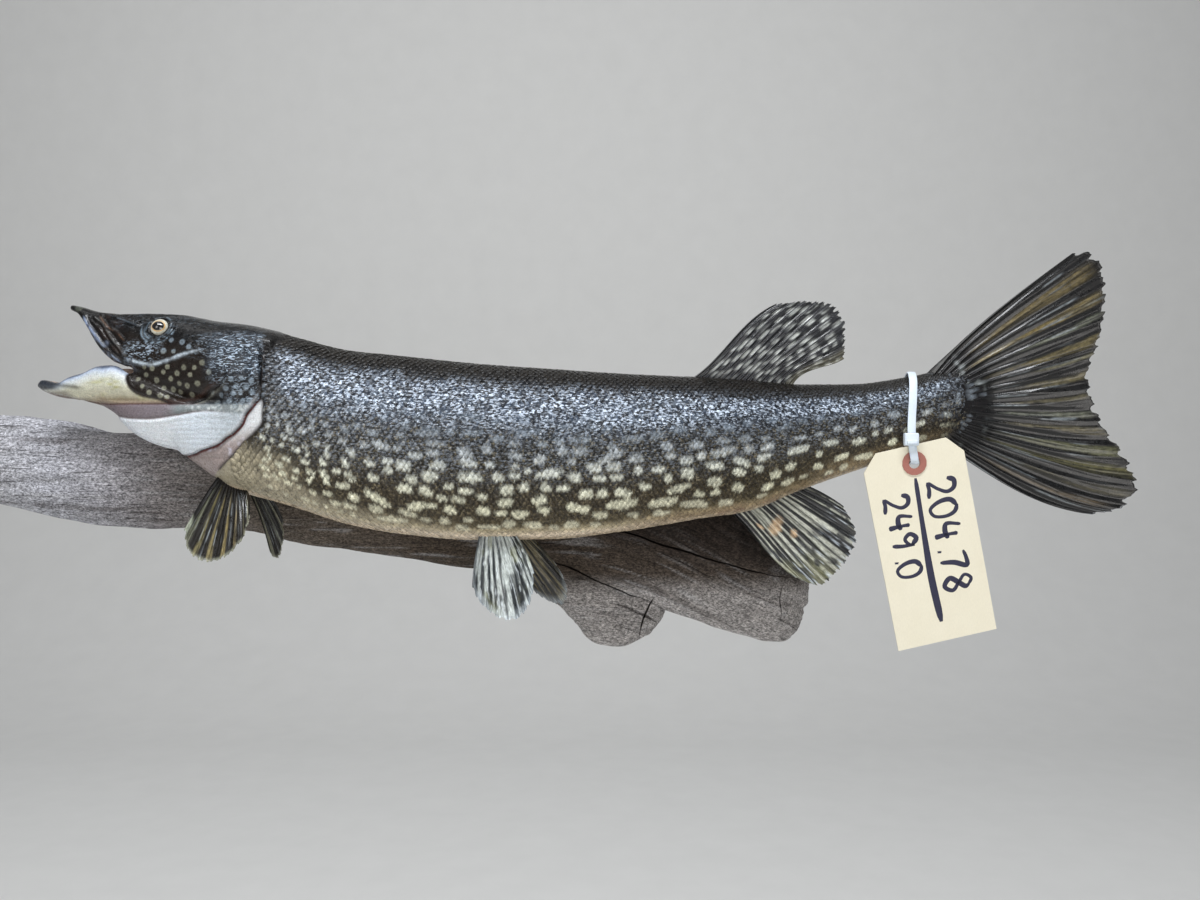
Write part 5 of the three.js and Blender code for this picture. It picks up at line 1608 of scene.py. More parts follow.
def fin_colour(name, u, k, p):
    """Colour at a place across a fin and along its rays, both from 0 to 1."""
    count = FINS[name]["rays"]
    q = np.stack([u * count, k * 6, 0 * u], -1)
    fine = noise(q, (0.22, 1.2, 1), 81, 3)
    broad = noise(q, (1.6, 2.2, 1), 82, 2)
    lane = u * count
    between = np.abs(lane - np.round(lane)) * 2
    if name == "dorsal_fin":
        colour = rgb(20, 22, 28) * (1 + 0.3 * broad)[:, None]
        which = np.floor(lane)
        beat = k * 5.6 + 0.37 * which + 0.5 * noise(np.stack([which, k * 3, 0 * k], -1), (1, 1, 1), 83, 1)
        dash = smooth(0.1, 0.3, beat % 1) * smooth(0.78, 0.55, beat % 1) * smooth(0.1, 0.45, between)
        dash *= span(k, 0.06, 0.16, 0.86, 1.02) * smooth(0.02, 0.08, u)
        dash *= (0.55 + 0.5 * (fine > -0.2)) * smooth(-0.5, 0.1, noise(q, (1.2, 0.7, 1), 94, 2))
        colour = lay(
            colour,
            (rgb(184, 188, 184), dash * 0.85),
            (rgb(108, 104, 84), smooth(0.86, 0.96, u) * 0.6),
            (rgb(34, 36, 40), bump(between, 0.24) * 0.55),
            (rgb(28, 30, 34), smooth(0.07, 0.0, u)),
        )
        return colour
    if name == "anal_fin":
        stripe = noise(q, (0.5, 5, 1), 88, 2)
        pale = smooth(0.45, 0.85, 0.8 * between + 0.9 * stripe + 0.25 * fine)
        colour = mix(rgb(28, 29, 30), rgb(186, 188, 174), pale * (0.88 - 0.25 * smooth(0.5, 0.9, k)))
        # a pale orange stain lies across the rays
        for pu, pk, long, wide, lean in ORANGE_STAINS:
            a, b = (u - pu) * 2.2, k - pk
            s, c = math.sin(lean), math.cos(lean)
            d = np.hypot((a * c + b * s) / long, (b * c - a * s) / wide)
            stain = smooth(1.2, 0.6, d + 0.4 * fine) * smooth(0.0, 0.5, between + 0.3)
            colour = mix(colour, rgb(196, 166, 130), 0.75 * stain)
        colour = mix(colour, rgb(150, 150, 112), 0.35 * smooth(0.6, 0.85, k) * smooth(0.5, 0.3, u))
        blot = smooth(0.05, 0.3, noise(q, (0.8, 0.6, 1), 84, 2)) * smooth(0.25, 0.7, k)
        colour = mix(colour, rgb(30, 32, 34), blot * 0.85)
        # bluish-white flecks over the outer part of the fin: painted glints
        colour = mix(colour, rgb(196, 206, 214), 0.6 * smooth(0.2, 0.5, fine) * smooth(0.5, 0.8, k))
        return colour
    if name.startswith("pelvic"):
        left = name.endswith("left")
        pale, dark = (rgb(186, 193, 190), rgb(34, 40, 44)) if left else (rgb(104, 96, 72), rgb(22, 21, 18))
        stripe = noise(q, (0.4, 2.6, 1), 88, 3)
        streaks = 0.5 * between + 0.9 * stripe + 0.3 * fine + 0.1
        colour = mix(dark, pale, smooth(0.1 if left else 0.25, 0.6, streaks))
        colour = mix(colour, rgb(126, 128, 92), 0.5 * left * smooth(0.1, 0.5, noise(q, (1.6, 1.2, 1), 96, 2)))
        blot = smooth(0.12, 0.4, noise(q, (0.9, 1.2, 1), 85, 2)) * smooth(0.2, 0.5, k)
        colour = mix(colour, dark * 0.6, blot * 0.8)
        threads = smooth(0.3, 0.6, noise(q, (0.12, 0.5, 1), 97, 2))
        colour = lay(
            colour,
            (rgb(206, 214, 218), 0.7 * left * threads),
            (rgb(196, 206, 212), 0.5 * smooth(0.86, 1.0, k)),
            (rgb(38, 44, 54), smooth(0.09, 0.02, u) * 0.8),
        )
        return colour
    base = rgb(7, 7, 8) if name == "tail_fin" else rgb(26, 23, 18)
    colour = base * (1 + 0.35 * broad)[:, None]
    sway = 0.012 * noise(q, (3, 2, 1), 86, 2) if name == "tail_fin" else 0.02 * broad
    for centre, half, start, end, tone in STREAKS[name]:
        d = np.abs(u + sway - centre) / (half * (0.3 + 0.48 * k))
        amount = smooth(1.2, 0.5, d + 0.45 * fine) * smooth(end + 0.03, end - 0.1, k)
        amount = amount * smooth(start - 0.08, start + 0.16, k + 0.12 * broad)
        amount = amount * (0.72 if name == "tail_fin" else 0.9)
        colour = mix(colour, tone * (0.95 + 0.25 * fine)[:, None], amount)
    hair = noise(q, (0.07, 1.6, 1), 89, 2)
    colour = mix(colour, rgb(6, 6, 7), 0.75 * smooth(0.0, 0.4, hair))
    # thin pale lines along the rays: partly their own colour and partly painted glints
    thread_glint = smooth(0.38, 0.52, noise(q, (0.1, 2.2, 1), 90, 2)) * bump(between, 0.45) * smooth(0.15, 0.3, k)
    colour = mix(colour, rgb(150, 158, 162), 0.7 * thread_glint)
    if name == "tail_fin":
        colour = colour * (0.85 - 0.2 * smooth(0.45, 0.7, u))[:, None]
        colour = mix(colour, rgb(28, 27, 28), smooth(0.2, 0.06, k) * 0.9)
        spots = smooth(0.2, 0.5, noise(p, (4.6, 5, 4.2), 6, 2)) * smooth(0.2, 0.08, k)
        colour = mix(colour, rgb(140, 146, 146), spots * 0.7)
    else:
        colour = lay(
            colour,
            (rgb(178, 180, 160), 0.7 * smooth(0.93, 1.0, k)),
            (rgb(150, 156, 140), smooth(0.1, 0.04, u) * smooth(0.72, 0.85, k)),
            (rgb(26, 24, 24), smooth(0.09, 0.03, u) * smooth(0.74, 0.66, k)),
        )
    return colour


# the tail's rays start inside the flesh; x, z and depth
TAIL_ROOT = [
    [297, 74, -46.6], [310, 72.4, -45.4], [319, 67.6, -44.8], [321, 58, -44.6],
    [319, 48, -44.8], [310, 42, -45.4], [298, 39.6, -46.4],
]


def make_fin(name):
    fin = FINS[name]
    count = fin["rays"]
    detail = 9
    columns = count * detail + 1
    rows = 72
    u = np.linspace(0, 1, columns)
    root = even(TAIL_ROOT if name == "tail_fin" else fin["root"], columns)[:, [0, 2, 1]]
    margin = even(fin["margin"], columns)[:, [0, 2, 1]]
    across = np.stack([-(margin - root)[:, 2], 0 * u, (margin - root)[:, 0]], -1)
    across = unit(across)
    bend = np.array(fin["bend"], float)
    inner = bend[0, 0] * (1 - u) ** 2 + bend[1, 0] * u**2
    outer = bend[0, 1] * (1 - u) ** 2 + bend[1, 1] * u**2
    c = root + (margin - root) / 3 + across * inner[:, None]
    d = root + (margin - root) * 2 / 3 + across * outer[:, None]
    lane = u * count
    off = np.abs(lane - np.round(lane)) * 2
    lanes = np.stack([lane, 0 * u, 0 * u], -1)
    ragged = 0.022 * (off > 0.55) + 0.03 * np.abs(noise(lanes, (0.5, 1, 1), 91, 2))
    ragged += 0.012 * np.abs(noise(lanes, (0.12, 1, 1), 92, 1))
    ragged *= span(u, 0.0, 0.03, 0.97, 1.0)
    k = np.linspace(0, 1, rows + 1)[None, :] * (1 - ragged)[:, None]
    t = k[..., None]
    line = (1 - t) ** 3 * root[:, None] + 3 * (1 - t) ** 2 * t * c[:, None]
    line = line + 3 * (1 - t) * t**2 * d[:, None] + t**3 * margin[:, None]
    along = np.gradient(line, axis=1)
    over = np.gradient(line, axis=0)
    normal = unit(np.cross(along, over))

    # each ray is a ridge that forks on its way to the margin
    fork = 0.24 * smooth(0.38, 1.0, k)
    near = lane[:, None] - np.round(lane)[:, None]
    ridge = np.maximum(bump(near - fork, 0.17), bump(near + fork, 0.17))
    split = 0.13 * smooth(0.65, 1.0, k)
    ridge = np.maximum(ridge * (1 - 0.3 * smooth(0.6, 1, k)), 0.85 * np.maximum(
        np.maximum(bump(near - fork - split, 0.09), bump(near - fork + split, 0.09)),
        np.maximum(bump(near + fork - split, 0.09), bump(near + fork + split, 0.09))) * smooth(0.6, 0.75, k))
    half = (fin["thick"][0] + (fin["thick"][1] - fin["thick"][0]) * k) / 2
    half = half * (0.34 + 0.72 * ridge)
    if name == "tail_fin":
        half = half + 3.6 * (1 - smooth(0.0, 0.26, k)) ** 1.5
    # the membrane between the rays is pleated
    pleat = 0.35 * np.sin(lane * np.pi)[:, None] * smooth(0.1, 0.6, k)
    flat = np.stack([np.repeat(lane, rows + 1), k.ravel() * 3, 0 * k.ravel()], -1)
    wave = noise(flat, (3.2, 2.2, 1), 93, 2).reshape(k.shape) * smooth(0.15, 0.8, k)
    wave = (1.1 if name == "tail_fin" else 0.7) * wave
    middle = line + normal * (pleat + wave)[..., None]
    sides = [middle + normal * half[..., None], middle - normal * half[..., None]]
    width = rows + 1
    total = columns * width
    points = np.concatenate([s.reshape(-1, 3) for s in sides])
    top = grid_faces(columns, width)
    foot = grid_faces(columns, width, offset=total, flip=True)
    i = np.arange(columns - 1)
    j = np.arange(rows)
    a = i * width + rows
    margin_faces = np.stack([a, a + width, a + width + total, a + total], -1)
    b = i * width
    root_faces = np.stack([b + width, b, b + total, b + width + total], -1)
    first = np.stack([j, j + 1, j + 1 + total, j + total], -1)
    e = (columns - 1) * width + j
    last = np.stack([e + 1, e, e + total, e + 1 + total], -1)
    faces = [top, foot, margin_faces, root_faces, first, last]
    piece = make(name.replace("_fin", "") + "_fin_rays", points, faces)
    where_u = np.repeat(u, width)
    where_k = k.ravel()
    colour = fin_colour(name, where_u, where_k, line.reshape(-1, 3))
    attribute(piece, "tint", np.clip(np.concatenate([colour, colour]), 0, 1))
    places = np.stack([where_u * count, where_k * np.linalg.norm(margin - root, axis=1).repeat(width)], -1)
    attribute(piece, "ray_place", np.concatenate([places, places]))
    return piece


def fin_material():
    m = Nodes("pike fins")
    at = m.attribute("ray_place", "Vector")
    streak = m.noise(m.stretch(at, (6, 0.25, 1)), 1.0, 5, 0.65)
    joints = m.noise(m.stretch(at, (1.2, 1.6, 1)), 1.0, 3, 0.6)
    colour = m.blend(1, m.attribute("tint"), m.ramp(streak, (0.34, 0.45), (0.66, 1.5)), "MULTIPLY")
    rough = m.ramp(m.noise(m.place(), 0.4, 3), (0.3, 0.22), (0.7, 0.42))
    bumps = m.relief(streak, 0.6, 0.3)
    bumps = m.relief(joints, 0.4, 0.25, bumps)
    m.set(
        Base_Color=colour, Roughness=rough, Normal=bumps, IOR=1.38, Coat_Weight=0.4, Coat_Roughness=0.12,
        Subsurface_Weight=0.05, Subsurface_Radius=(0.001, 0.0008, 0.0005),
    )
    return m.material


_fins = fin_material()
for name in FINS:
    finish_piece(make_fin(name), _fins, name, name)

# ---- eyes -----------------------------------------------------------------------


def make_eye(name, side):
    centre, look = eye_frame(side)
    across = unit(np.cross([0, 0, 1], look))
    up = np.cross(look, across)
    rings, around = ((110, 128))
    turn = np.linspace(0, np.pi, rings + 1)[1:-1]
    a = turns(around)
    r = EYE_RADIUS * np.sin(turn)
    h = EYE_RADIUS * np.cos(turn)
    # a cornea stands a little proud of the ball
    h = h + 0.55 * np.exp(-((r / 3.6) ** 2)) * (np.cos(turn) > 0)
    flat = r[:, None] * np.cos(a), r[:, None] * np.sin(a)
    deep = h[:, None] * np.ones(around)
    ball = centre + flat[0][..., None] * across + flat[1][..., None] * up + deep[..., None] * look
    poles = [centre + look * (EYE_RADIUS + 0.55), centre - look * EYE_RADIUS]
    points = np.concatenate([ball.reshape(-1, 3), poles])
    n = len(turn) * around
    j = np.arange(around)
    nxt = (j + 1) % around
    start = np.stack([np.full(around, n), j, nxt], -1)
    end = np.stack([np.full(around, n + 1), nxt + n - around, j + n - around], -1)
    piece = make(name + "_glass", points, [grid_faces(len(turn), around, wrap=True, flip=True), start, end])
    p = points_of(piece) - centre
    x, y, z = p @ across, p @ up, p @ look
    radius = np.hypot(x, y)
    forward = -x * np.sign(across[0])  # towards the snout
    angle = np.arctan2(y, x)
    ripple = noise(np.stack([np.cos(angle) * 9, np.sin(angle) * 9, radius * 0.5], -1), 1.0, 101, 3)
    mottle = noise(np.stack([x, y, z], -1), 1.1, 102, 2)
    pupil = np.hypot((forward - 0.15) / 3.3, y / 2.9)
    pupil = np.maximum(pupil - 0.12 * smooth(0.5, 3.0, forward) * (np.abs(y) < 1.2), 0)
    colour = rgb(214, 204, 170)
    colour = lay(
        colour,
        (rgb(226, 226, 212), smooth(3.2, 4.2, radius) * 0.85),
        (rgb(150, 120, 74), smooth(0.1, 0.7, ripple) * 0.35),
        (rgb(96, 84, 60), smooth(0.2, 0.7, mottle) * 0.4 * smooth(2.4, 3.4, radius)),
        (rgb(206, 150, 70), bump(pupil - 1.1, 0.08) * 0.9),
        (rgb(14, 13, 12), smooth(4.75, 5.05, radius + 0.12 * mottle) * 0.97),
        (rgb(4, 4, 5), smooth(1.03, 0.95, pupil)),
        (rgb(14, 13, 12), (z < 1.0)),
    )
    attribute(piece, "tint", np.clip(colour, 0, 1))
    attribute(piece, "depth", smooth(1.03, 0.95, pupil))
    return piece


def eye_material():
    m = Nodes("glass eye")
    at = m.place()
    flecks = m.noise(at, 2.6, 4, 0.6)
    colour = m.blend(1, m.attribute("tint"), m.ramp(flecks, (0.3, 0.8), (0.7, 1.15)), "MULTIPLY")
    m.set(
        Base_Color=colour, Roughness=m.ramp(flecks, (0.3, 0.16), (0.7, 0.3)),
        Normal=m.relief(flecks, 0.12, 0.1), Coat_Weight=1.0, Coat_Roughness=0.02, Coat_IOR=1.6,
    )
    return m.material


_eyes = eye_material()
for name, side in (("eye_left", -1), ("eye_right", 1)):
    finish_piece(make_eye(name, side), _eyes, name, name)

# ---- the driftwood ----------------------------------------------------------------

WOOD_HOLLOWS = [  # x, z, size and depth
    (165, -12, 9, 1.8), (128, -60, 7, 2.0), (-236, 8, 8, 1.2), (196, -66, 8, 1.6), (-30, -20, 7, 1),
]
SPLITS = [
    [
        (60, -15), (90, -17.5), (118, -20.4), (136, -27), (154.7, -32.4), (170, -37.6),
        (183.5, -41), (202, -46), (221, -49.6),
    ],
    [(60, -33), (76, -40.2), (88, -45.4), (99.3, -51.2), (112, -56.6), (131, -64.6), (140, -68)],
    [(-300, 28.6), (-262, 27.6), (-224, 25.8), (-196, 25), (-180, 23)],
    [(-150, -4), (-128, -6.6), (-104, -8.4), (-84, -13.6)],
    [(133, -62), (129.5, -69), (126.5, -77), (124, -90)],
    [(212.8, -51), (210.4, -61), (211.6, -70), (210.6, -80)],
]
SPLIT_SIZES = [(1.3, 9), (1.4, 24), (0.5, 2.0), (0.6, 2.5), (2.4, 26), (0.8, 5)]


def wood_body(name, rows, count, around, seed):
    xs = stations(rows[0][0], rows[-1][0], count)
    a = turns(around)
    top, bottom, front = section(rows, xs).T
    rings = []
    for k, x in enumerate(xs):
        middle, high = (top[k] + bottom[k]) / 2, (top[k] - bottom[k]) / 2
        q = np.stack([np.full(around, x), 40 * np.cos(a), 40 * np.sin(a)], -1)
        worn = 1 + 0.035 * noise(q, (60, 30, 30), seed, 2)
        y = -0.42 * front[k] + 0.58 * front[k] * worn * power(np.cos(a), 0.78)
        z = middle + high * worn * power(np.sin(a), 0.84)
        rings.append(np.stack([np.full(around, x), np.minimum(y, 6), z], -1))
    return closed_loft(name, rings)


def block(name, width, depth, height, x, y, z):
    corners = [
        (sx * width / 2 + x, sy * depth / 2 + y, sz * height / 2 + z)
        for sx in (-1, 1) for sy in (-1, 1) for sz in (-1, 1)
    ]
    faces = [[0, 1, 3, 2], [4, 6, 7, 5], [0, 4, 5, 1], [2, 3, 7, 6], [0, 2, 6, 4], [1, 5, 7, 3]]
    return make(name, corners, [faces], soft=False)


def rod_tool(name, profile, x, z, around=40):
    """A turned tool along Y: pairs of depth and radius."""
    a = turns(around)
    rings = [np.stack([x + r * np.cos(a), np.full(around, y), z + r * np.sin(a)], -1) for y, r in profile]
    return closed_loft(name, rings)


def slot_tool(name, radius, near, far, x, low, high, around=24):
    a = np.linspace(0, np.pi, around)
    ring = np.concatenate([
        np.stack([x + radius * np.cos(a), high + radius * np.sin(a)], -1),
        np.stack([x - radius * np.cos(a), low - radius * np.sin(a)], -1),
    ])
    rings = [np.stack([ring[:, 0], np.full(len(ring), y), ring[:, 1]], -1) for y in (near, far)]
    return closed_loft(name, rings)


def split_tool(line, width, depth, seed):
    """A thin wedge through the front of the wood along a wandering line."""
    path = even(line, 90)
    s = np.linspace(0, 1, len(path))
    path[:, 1] += 0.8 * noise(np.stack([path[:, 0], path[:, 1], 0 * s], -1), 9, seed, 3)
    wide = width * np.sqrt(np.clip(np.sin(np.pi * np.clip(s, 0.004, 0.996)), 0, 1))
    wide = wide * (0.75 + 0.35 * noise(np.stack([path[:, 0], 0 * s, 0 * s], -1), 6, seed + 1, 2))
    wide = np.maximum(wide, 0.08)
    front = -np.interp(path[:, 0], [r[0] for r in WOOD], [r[3] for r in WOOD])
    ahead = np.gradient(path, axis=0)
    ahead = unit(ahead)
    rings = []
    for (x, z), (ax, az), w, f in zip(path, ahead, wide, front):
        wedge = (1, f - 6), (0.06, f + depth), (-0.06, f + depth), (-1, f - 6)
        rings.append([[x - az * w * k, y, z + ax * w * k] for k, y in wedge])
    return closed_loft("split_tool", rings)


def along_grain(p):
    """Points moved so that the grain, which turns down with the lower limb, runs level."""
    along = p.copy()
    along[:, 2] = p[:, 2] + smooth(60, 210, p[:, 0]) * 0.34 * (p[:, 0] - 60)
    return along


def make_wood():
    voxel = 1.15
    limbs = [wood_body("upper_limb", WOOD, 200, 80, 111), wood_body("lower_limb", LIMB, 60, 60, 112)]
    wood = fuse("driftwood_limb", limbs, voxel, 2)
    p, n = points_of(wood), normals_of(wood)
    # long grain, weathered into ridges
    along = along_grain(p)
    lift = 1.3 * noise(along, (70, 9, 9), 113, 2) + 0.75 * noise(along, (34, 3.4, 3.4), 114, 2)
    lift += 0.3 * noise(along, (16, 1.9, 1.9), 115, 2)
    lift += 1.2 * noise(p, (26, 20, 20), 116, 2)
    for x, z, size, depth in WOOD_HOLLOWS:
        d = np.hypot((p[:, 0] - x) / 1.5, p[:, 2] - z)
        lift -= depth * bump(d, size * 0.6)
    # the broken end at the right
    end = smooth(196, 226, p[:, 0])
    lift += end * 1.2 * noise(p, (5, 12, 3.2), 117, 3)
    p = p + n * np.minimum(lift, 2.2)[:, None]
    set_points(wood, p)
    cut(wood, block("wall_tool", 800, 60, 400, -40, 30, -20))
    cut(wood, body("trunk_tool", TRUNK, 90, 72, 0.35))
    cut(wood, body("throat_tool", THROAT, 50, 60, 1.6))
    for k, (line, (width, depth)) in enumerate(zip(SPLITS, SPLIT_SIZES)):
        cut(wood, split_tool(line, width, depth, 120 + 3 * k))
    cut(wood, slot_tool("seat_tool", 7.75, 3, -2.65, 14, 9.5, 26.5))
    cut(wood, block("pocket_tool", 9.4, 9, 18, 14, -5.3, 19))
    for x in (-40, 44):
        cut(wood, rod_tool("screw_tool", [(3, 4.65), (-0.8, 4.65), (-3.6, 2.2), (-60, 2.2)], x, 12))
    wood.data.set_sharp_from_angle(angle=math.radians(48))
    p, n = points_of(wood), normals_of(wood)
    along = along_grain(p)
    # darker along the middle under the fish: partly the wood's own stain and partly a painted shadow of the
    # fish
    colour = by_height([
        (-312, rgb(176, 176, 180)), (-235, rgb(168, 169, 176)), (-205, rgb(154, 153, 158)),
        (-170, rgb(126, 122, 122)), (-110, rgb(96, 88, 80)), (0, rgb(72, 63, 54)), (90, rgb(70, 61, 53)),
        (232, rgb(84, 76, 70)),
    ], p[:, 0])
    low = smooth(-44, -62, p[:, 2]) * smooth(40, 90, p[:, 0])
    low = np.maximum(low, smooth(40, 70, p[:, 0]) * smooth(-50, -72, p[:, 2]))
    colour = mix(colour, rgb(166, 162, 160), low * 0.9)
    # the top of the right part near-black under the fish's belly: partly stain and partly a painted shadow
    top_right = smooth(30, 80, p[:, 0]) * smooth(-38, -14, p[:, 2] + 0.2 * (p[:, 0] - 120))
    colour = mix(colour, rgb(40, 33, 29), top_right * 0.85)
    pepper = noise(p, (2.4, 3, 1.7), 133, 3)
    colour = colour * (1 + 0.42 * pepper)[:, None]
    streak = noise(along, (24, 5, 3), 130, 3)
    colour = colour * (1 + 0.14 * streak)[:, None]
    colour = mix(colour, rgb(58, 50, 46), smooth(0.25, 0.6, noise(along, (60, 6, 3), 131, 2)) * 0.5)
    bleached = smooth(0.2, 0.6, noise(along, (30, 5, 2), 132, 2)) * (1 - 0.85 * top_right)
    colour = mix(colour, rgb(176, 176, 178), bleached * 0.3)
    back = smooth(-1.2, -0.2, p[:, 1])
    colour = mix(colour, rgb(168, 140, 104) * 0.9, back * 0.75)
    attribute(wood, "tint", np.clip(colour, 0, 1))
    attribute(wood, "grain_place", np.stack([along[:, 0], along[:, 2] + 0.3 * along[:, 1]], -1))
    return wood


def wood_material():
    m = Nodes("grey driftwood")
    at = m.attribute("grain_place", "Vector")
    grain = m.noise(m.stretch(at, (0.13, 0.9, 1)), 1.0, 7, 0.74, 0.5)
    fibre = m.noise(m.stretch(at, (0.42, 2.6, 1)), 1.0, 5, 0.72)
    checks = m.noise(m.stretch(at, (0.03, 0.5, 1)), 1.0, 4, 0.6, 0.6)
    colour = m.blend(1, m.attribute("tint"), m.ramp(grain, (0.3, 0.5), (0.5, 0.95), (0.7, 1.3)), "MULTIPLY")
    colour = m.blend(1, colour, m.ramp(fibre, (0.32, 0.68), (0.62, 1.2)), "MULTIPLY")
    colour = m.blend(m.ramp(checks, (0.34, 0.75), (0.385, 0.0)), colour, rgb(34, 28, 26))
    rough = m.ramp(fibre, (0.3, 0.72), (0.7, 0.95))
    bumps = m.relief(grain, 0.7, 0.9)
    bumps = m.relief(fibre, 0.6, 0.35, bumps)
    bumps = m.relief(m.ramp(checks, (0.34, 0.0), (0.4, 1.0)), 0.6, 0.8, bumps)
    at = m.place()
    grit = m.noise(m.stretch(at, (0.55, 0.8, 1)), 1.1, 6, 0.78)
    colour = m.blend(1, colour, m.ramp(grit, (0.39, 0.3), (0.5, 0.95), (0.61, 1.75)), "MULTIPLY")
    bumps = m.relief(grit, 0.6, 0.5, bumps)
    m.set(Base_Color=colour, Roughness=rough, Normal=bumps, Specular_IOR_Level=0.2)
    return m.material


wood = make_wood()
finish_piece(wood, wood_material(), "driftwood", "driftwood")

# ---- the tag, its tie and the fixings ------------------------------------------------

TAG_HANG = np.array([284.5, -62, 22.4])
_swing, _tilt = math.radians(12.8), math.radians(7.5)
TAG_DOWN = np.array([
    math.sin(_swing) * math.cos(_tilt),
    math.sin(_tilt),
    -math.cos(_swing) * math.cos(_tilt),
])
TAG_ACROSS = np.array([math.cos(_swing), 0, math.sin(_swing)])
TAG_INWARD = unit(np.cross(TAG_ACROSS, TAG_DOWN))

# plain figures drawn as a hand draws them, in a box 1 wide and 1.6 high
FIGURES = {
    "0": [[
        (0.5, 1.55), (0.1, 1.25), (0.05, 0.6), (0.35, 0.05), (0.75, 0.2),
        (0.95, 0.9), (0.8, 1.4), (0.45, 1.58),
    ]],
    "2": [[
        (0.08, 1.2), (0.3, 1.55), (0.7, 1.5), (0.85, 1.1), (0.55, 0.6),
        (0.1, 0.1), (0.45, 0.12), (0.95, 0.02),
    ]],
    "4": [[(0.35, 1.55), (0.12, 0.75), (0.5, 0.62), (0.95, 0.72)], [(0.8, 1.3), (0.72, 0.7), (0.7, 0.0)]],
    "7": [[(0.05, 1.4), (0.5, 1.5), (0.95, 1.48), (0.6, 0.8), (0.4, 0.02)]],
    "8": [[
        (0.8, 1.35), (0.45, 1.58), (0.15, 1.25), (0.5, 0.85), (0.85, 0.45), (0.5, 0.03), (0.12, 0.4),
        (0.5, 0.85), (0.82, 1.2), (0.74, 1.42),
    ]],
    "9": [[
        (0.82, 1.25), (0.5, 1.55), (0.15, 1.2), (0.4, 0.85), (0.8, 1.1),
        (0.85, 1.4), (0.78, 0.7), (0.6, 0.02),
    ]],
    ".": [[(0.3, 0.1), (0.42, 0.08)]],
}


def ink_line(points, width):
    """A flat ribbon of ink on the card, from points across and down it."""
    path = even(points, max(10, 6 * len(points)))
    ahead = np.gradient(path, axis=0)
    ahead = unit(ahead)
    side = np.stack([-ahead[:, 1], ahead[:, 0]], -1)
    s = np.linspace(0, 1, len(path))
    wide = width * (0.42 + 0.1 * np.sin(5 * s + len(points))) * np.minimum(1, 0.5 + 9 * np.minimum(s, 1 - s))
    face = -0.4
    edge = face - 0.015
    crest = face - 0.06
    base = face + 0.1
    rings = []
    for (x, y), (sx, sy), w in zip(path, side, wide):
        ring = []
        for a, z in ((-1, edge), (-0.8, crest), (0.8, crest), (1, edge), (1, base), (-1, base)):
            on_card = (x + a * sx * w) * TAG_ACROSS + (y + a * sy * w) * TAG_DOWN
            ring.append(TAG_HANG + on_card + z * TAG_INWARD)
        rings.append(ring)
    return closed_loft("ink", rings)


def write(text, across, down, size, width):
    """Figures written down the card, their tops to its right."""
    strokes = []
    for sign in text:
        sway = rng.uniform(-0.06, 0.06, 2)
        for stroke in FIGURES[sign]:
            points = [
                (across + (y + sway[0]) * size / 1.6, down + (x + sway[1] - 0.08 * y) * size * 0.62)
                for x, y in stroke
            ]
            strokes.append(ink_line(points, width))
        down += size * (0.36 if sign == "." else 0.78)
    return strokes


def make_ink():
    strokes = write("204.78", 4.0, 13, 17, 3.1)
    strokes += write("249.0", -22.5, 17, 15.5, 3.0)
    strokes.append(ink_line([(-1.0, 9), (-2.0, 40), (-2.6, 70), (-1.6, 98)], 4.2))
    piece = join("tag_figures", strokes)
    piece.data.shade_smooth()
    piece.data.set_sharp_from_angle(angle=math.radians(40))
    return piece


def plain_material(name, low, high, scale, rough, depth, metal=0.0):
    m = Nodes(name)
    at = m.place()
    cloud = m.noise(at, scale, 5, 0.6)
    fine = m.noise(at, scale * 8, 4, 0.6)
    colour = m.blend(cloud, low, high)
    shine = m.ramp(fine, (0.3, rough[0]), (0.7, rough[1]))
    m.set(Base_Color=colour, Roughness=shine, Normal=m.relief(fine, 0.5, depth), Metallic=metal)
    return m


def card_material():
    m = Nodes("manila card")
    at = m.place()
    cloud = m.noise(at, 0.06, 5, 0.6)
    fibre = m.noise(m.stretch(at, (1, 1, 0.25)), 2.2, 5, 0.7)
    colour = m.blend(cloud, rgb(226, 219, 196), rgb(236, 230, 210))
    colour = m.blend(1, colour, m.ramp(fibre, (0.3, 0.95), (0.7, 1.03)), "MULTIPLY")
    rough = m.ramp(fibre, (0.3, 0.7), (0.7, 0.86))
    m.set(Base_Color=colour, Roughness=rough, Normal=m.relief(fibre, 0.25, 0.12))
    return m.material


STRAP_PATH = [
    [286.6, -48.2, 76.4], [285.4, -57, 71], [284, -61.4, 60], [283, -63, 50], [282.4, -64.4, 42],
    [282.6, -65, 33], [283.6, -65, 26.6], [284.5, -63.4, 22.7], [284.5, -60, 22.2], [285, -52, 25],
    [286, -43, 27.8], [286.4, -36.4, 36], [286.8, -34.2, 50], [286.8, -36.6, 64], [286.8, -41.4, 73.4],
]
LOCK = [281.4, -66.8, 36.2]


def bevelled(piece, width, segments):
    bevel = piece.modifiers.new("bevel", "BEVEL")
    bevel.width = width * MM
    bevel.segments = segments
    return apply(piece)


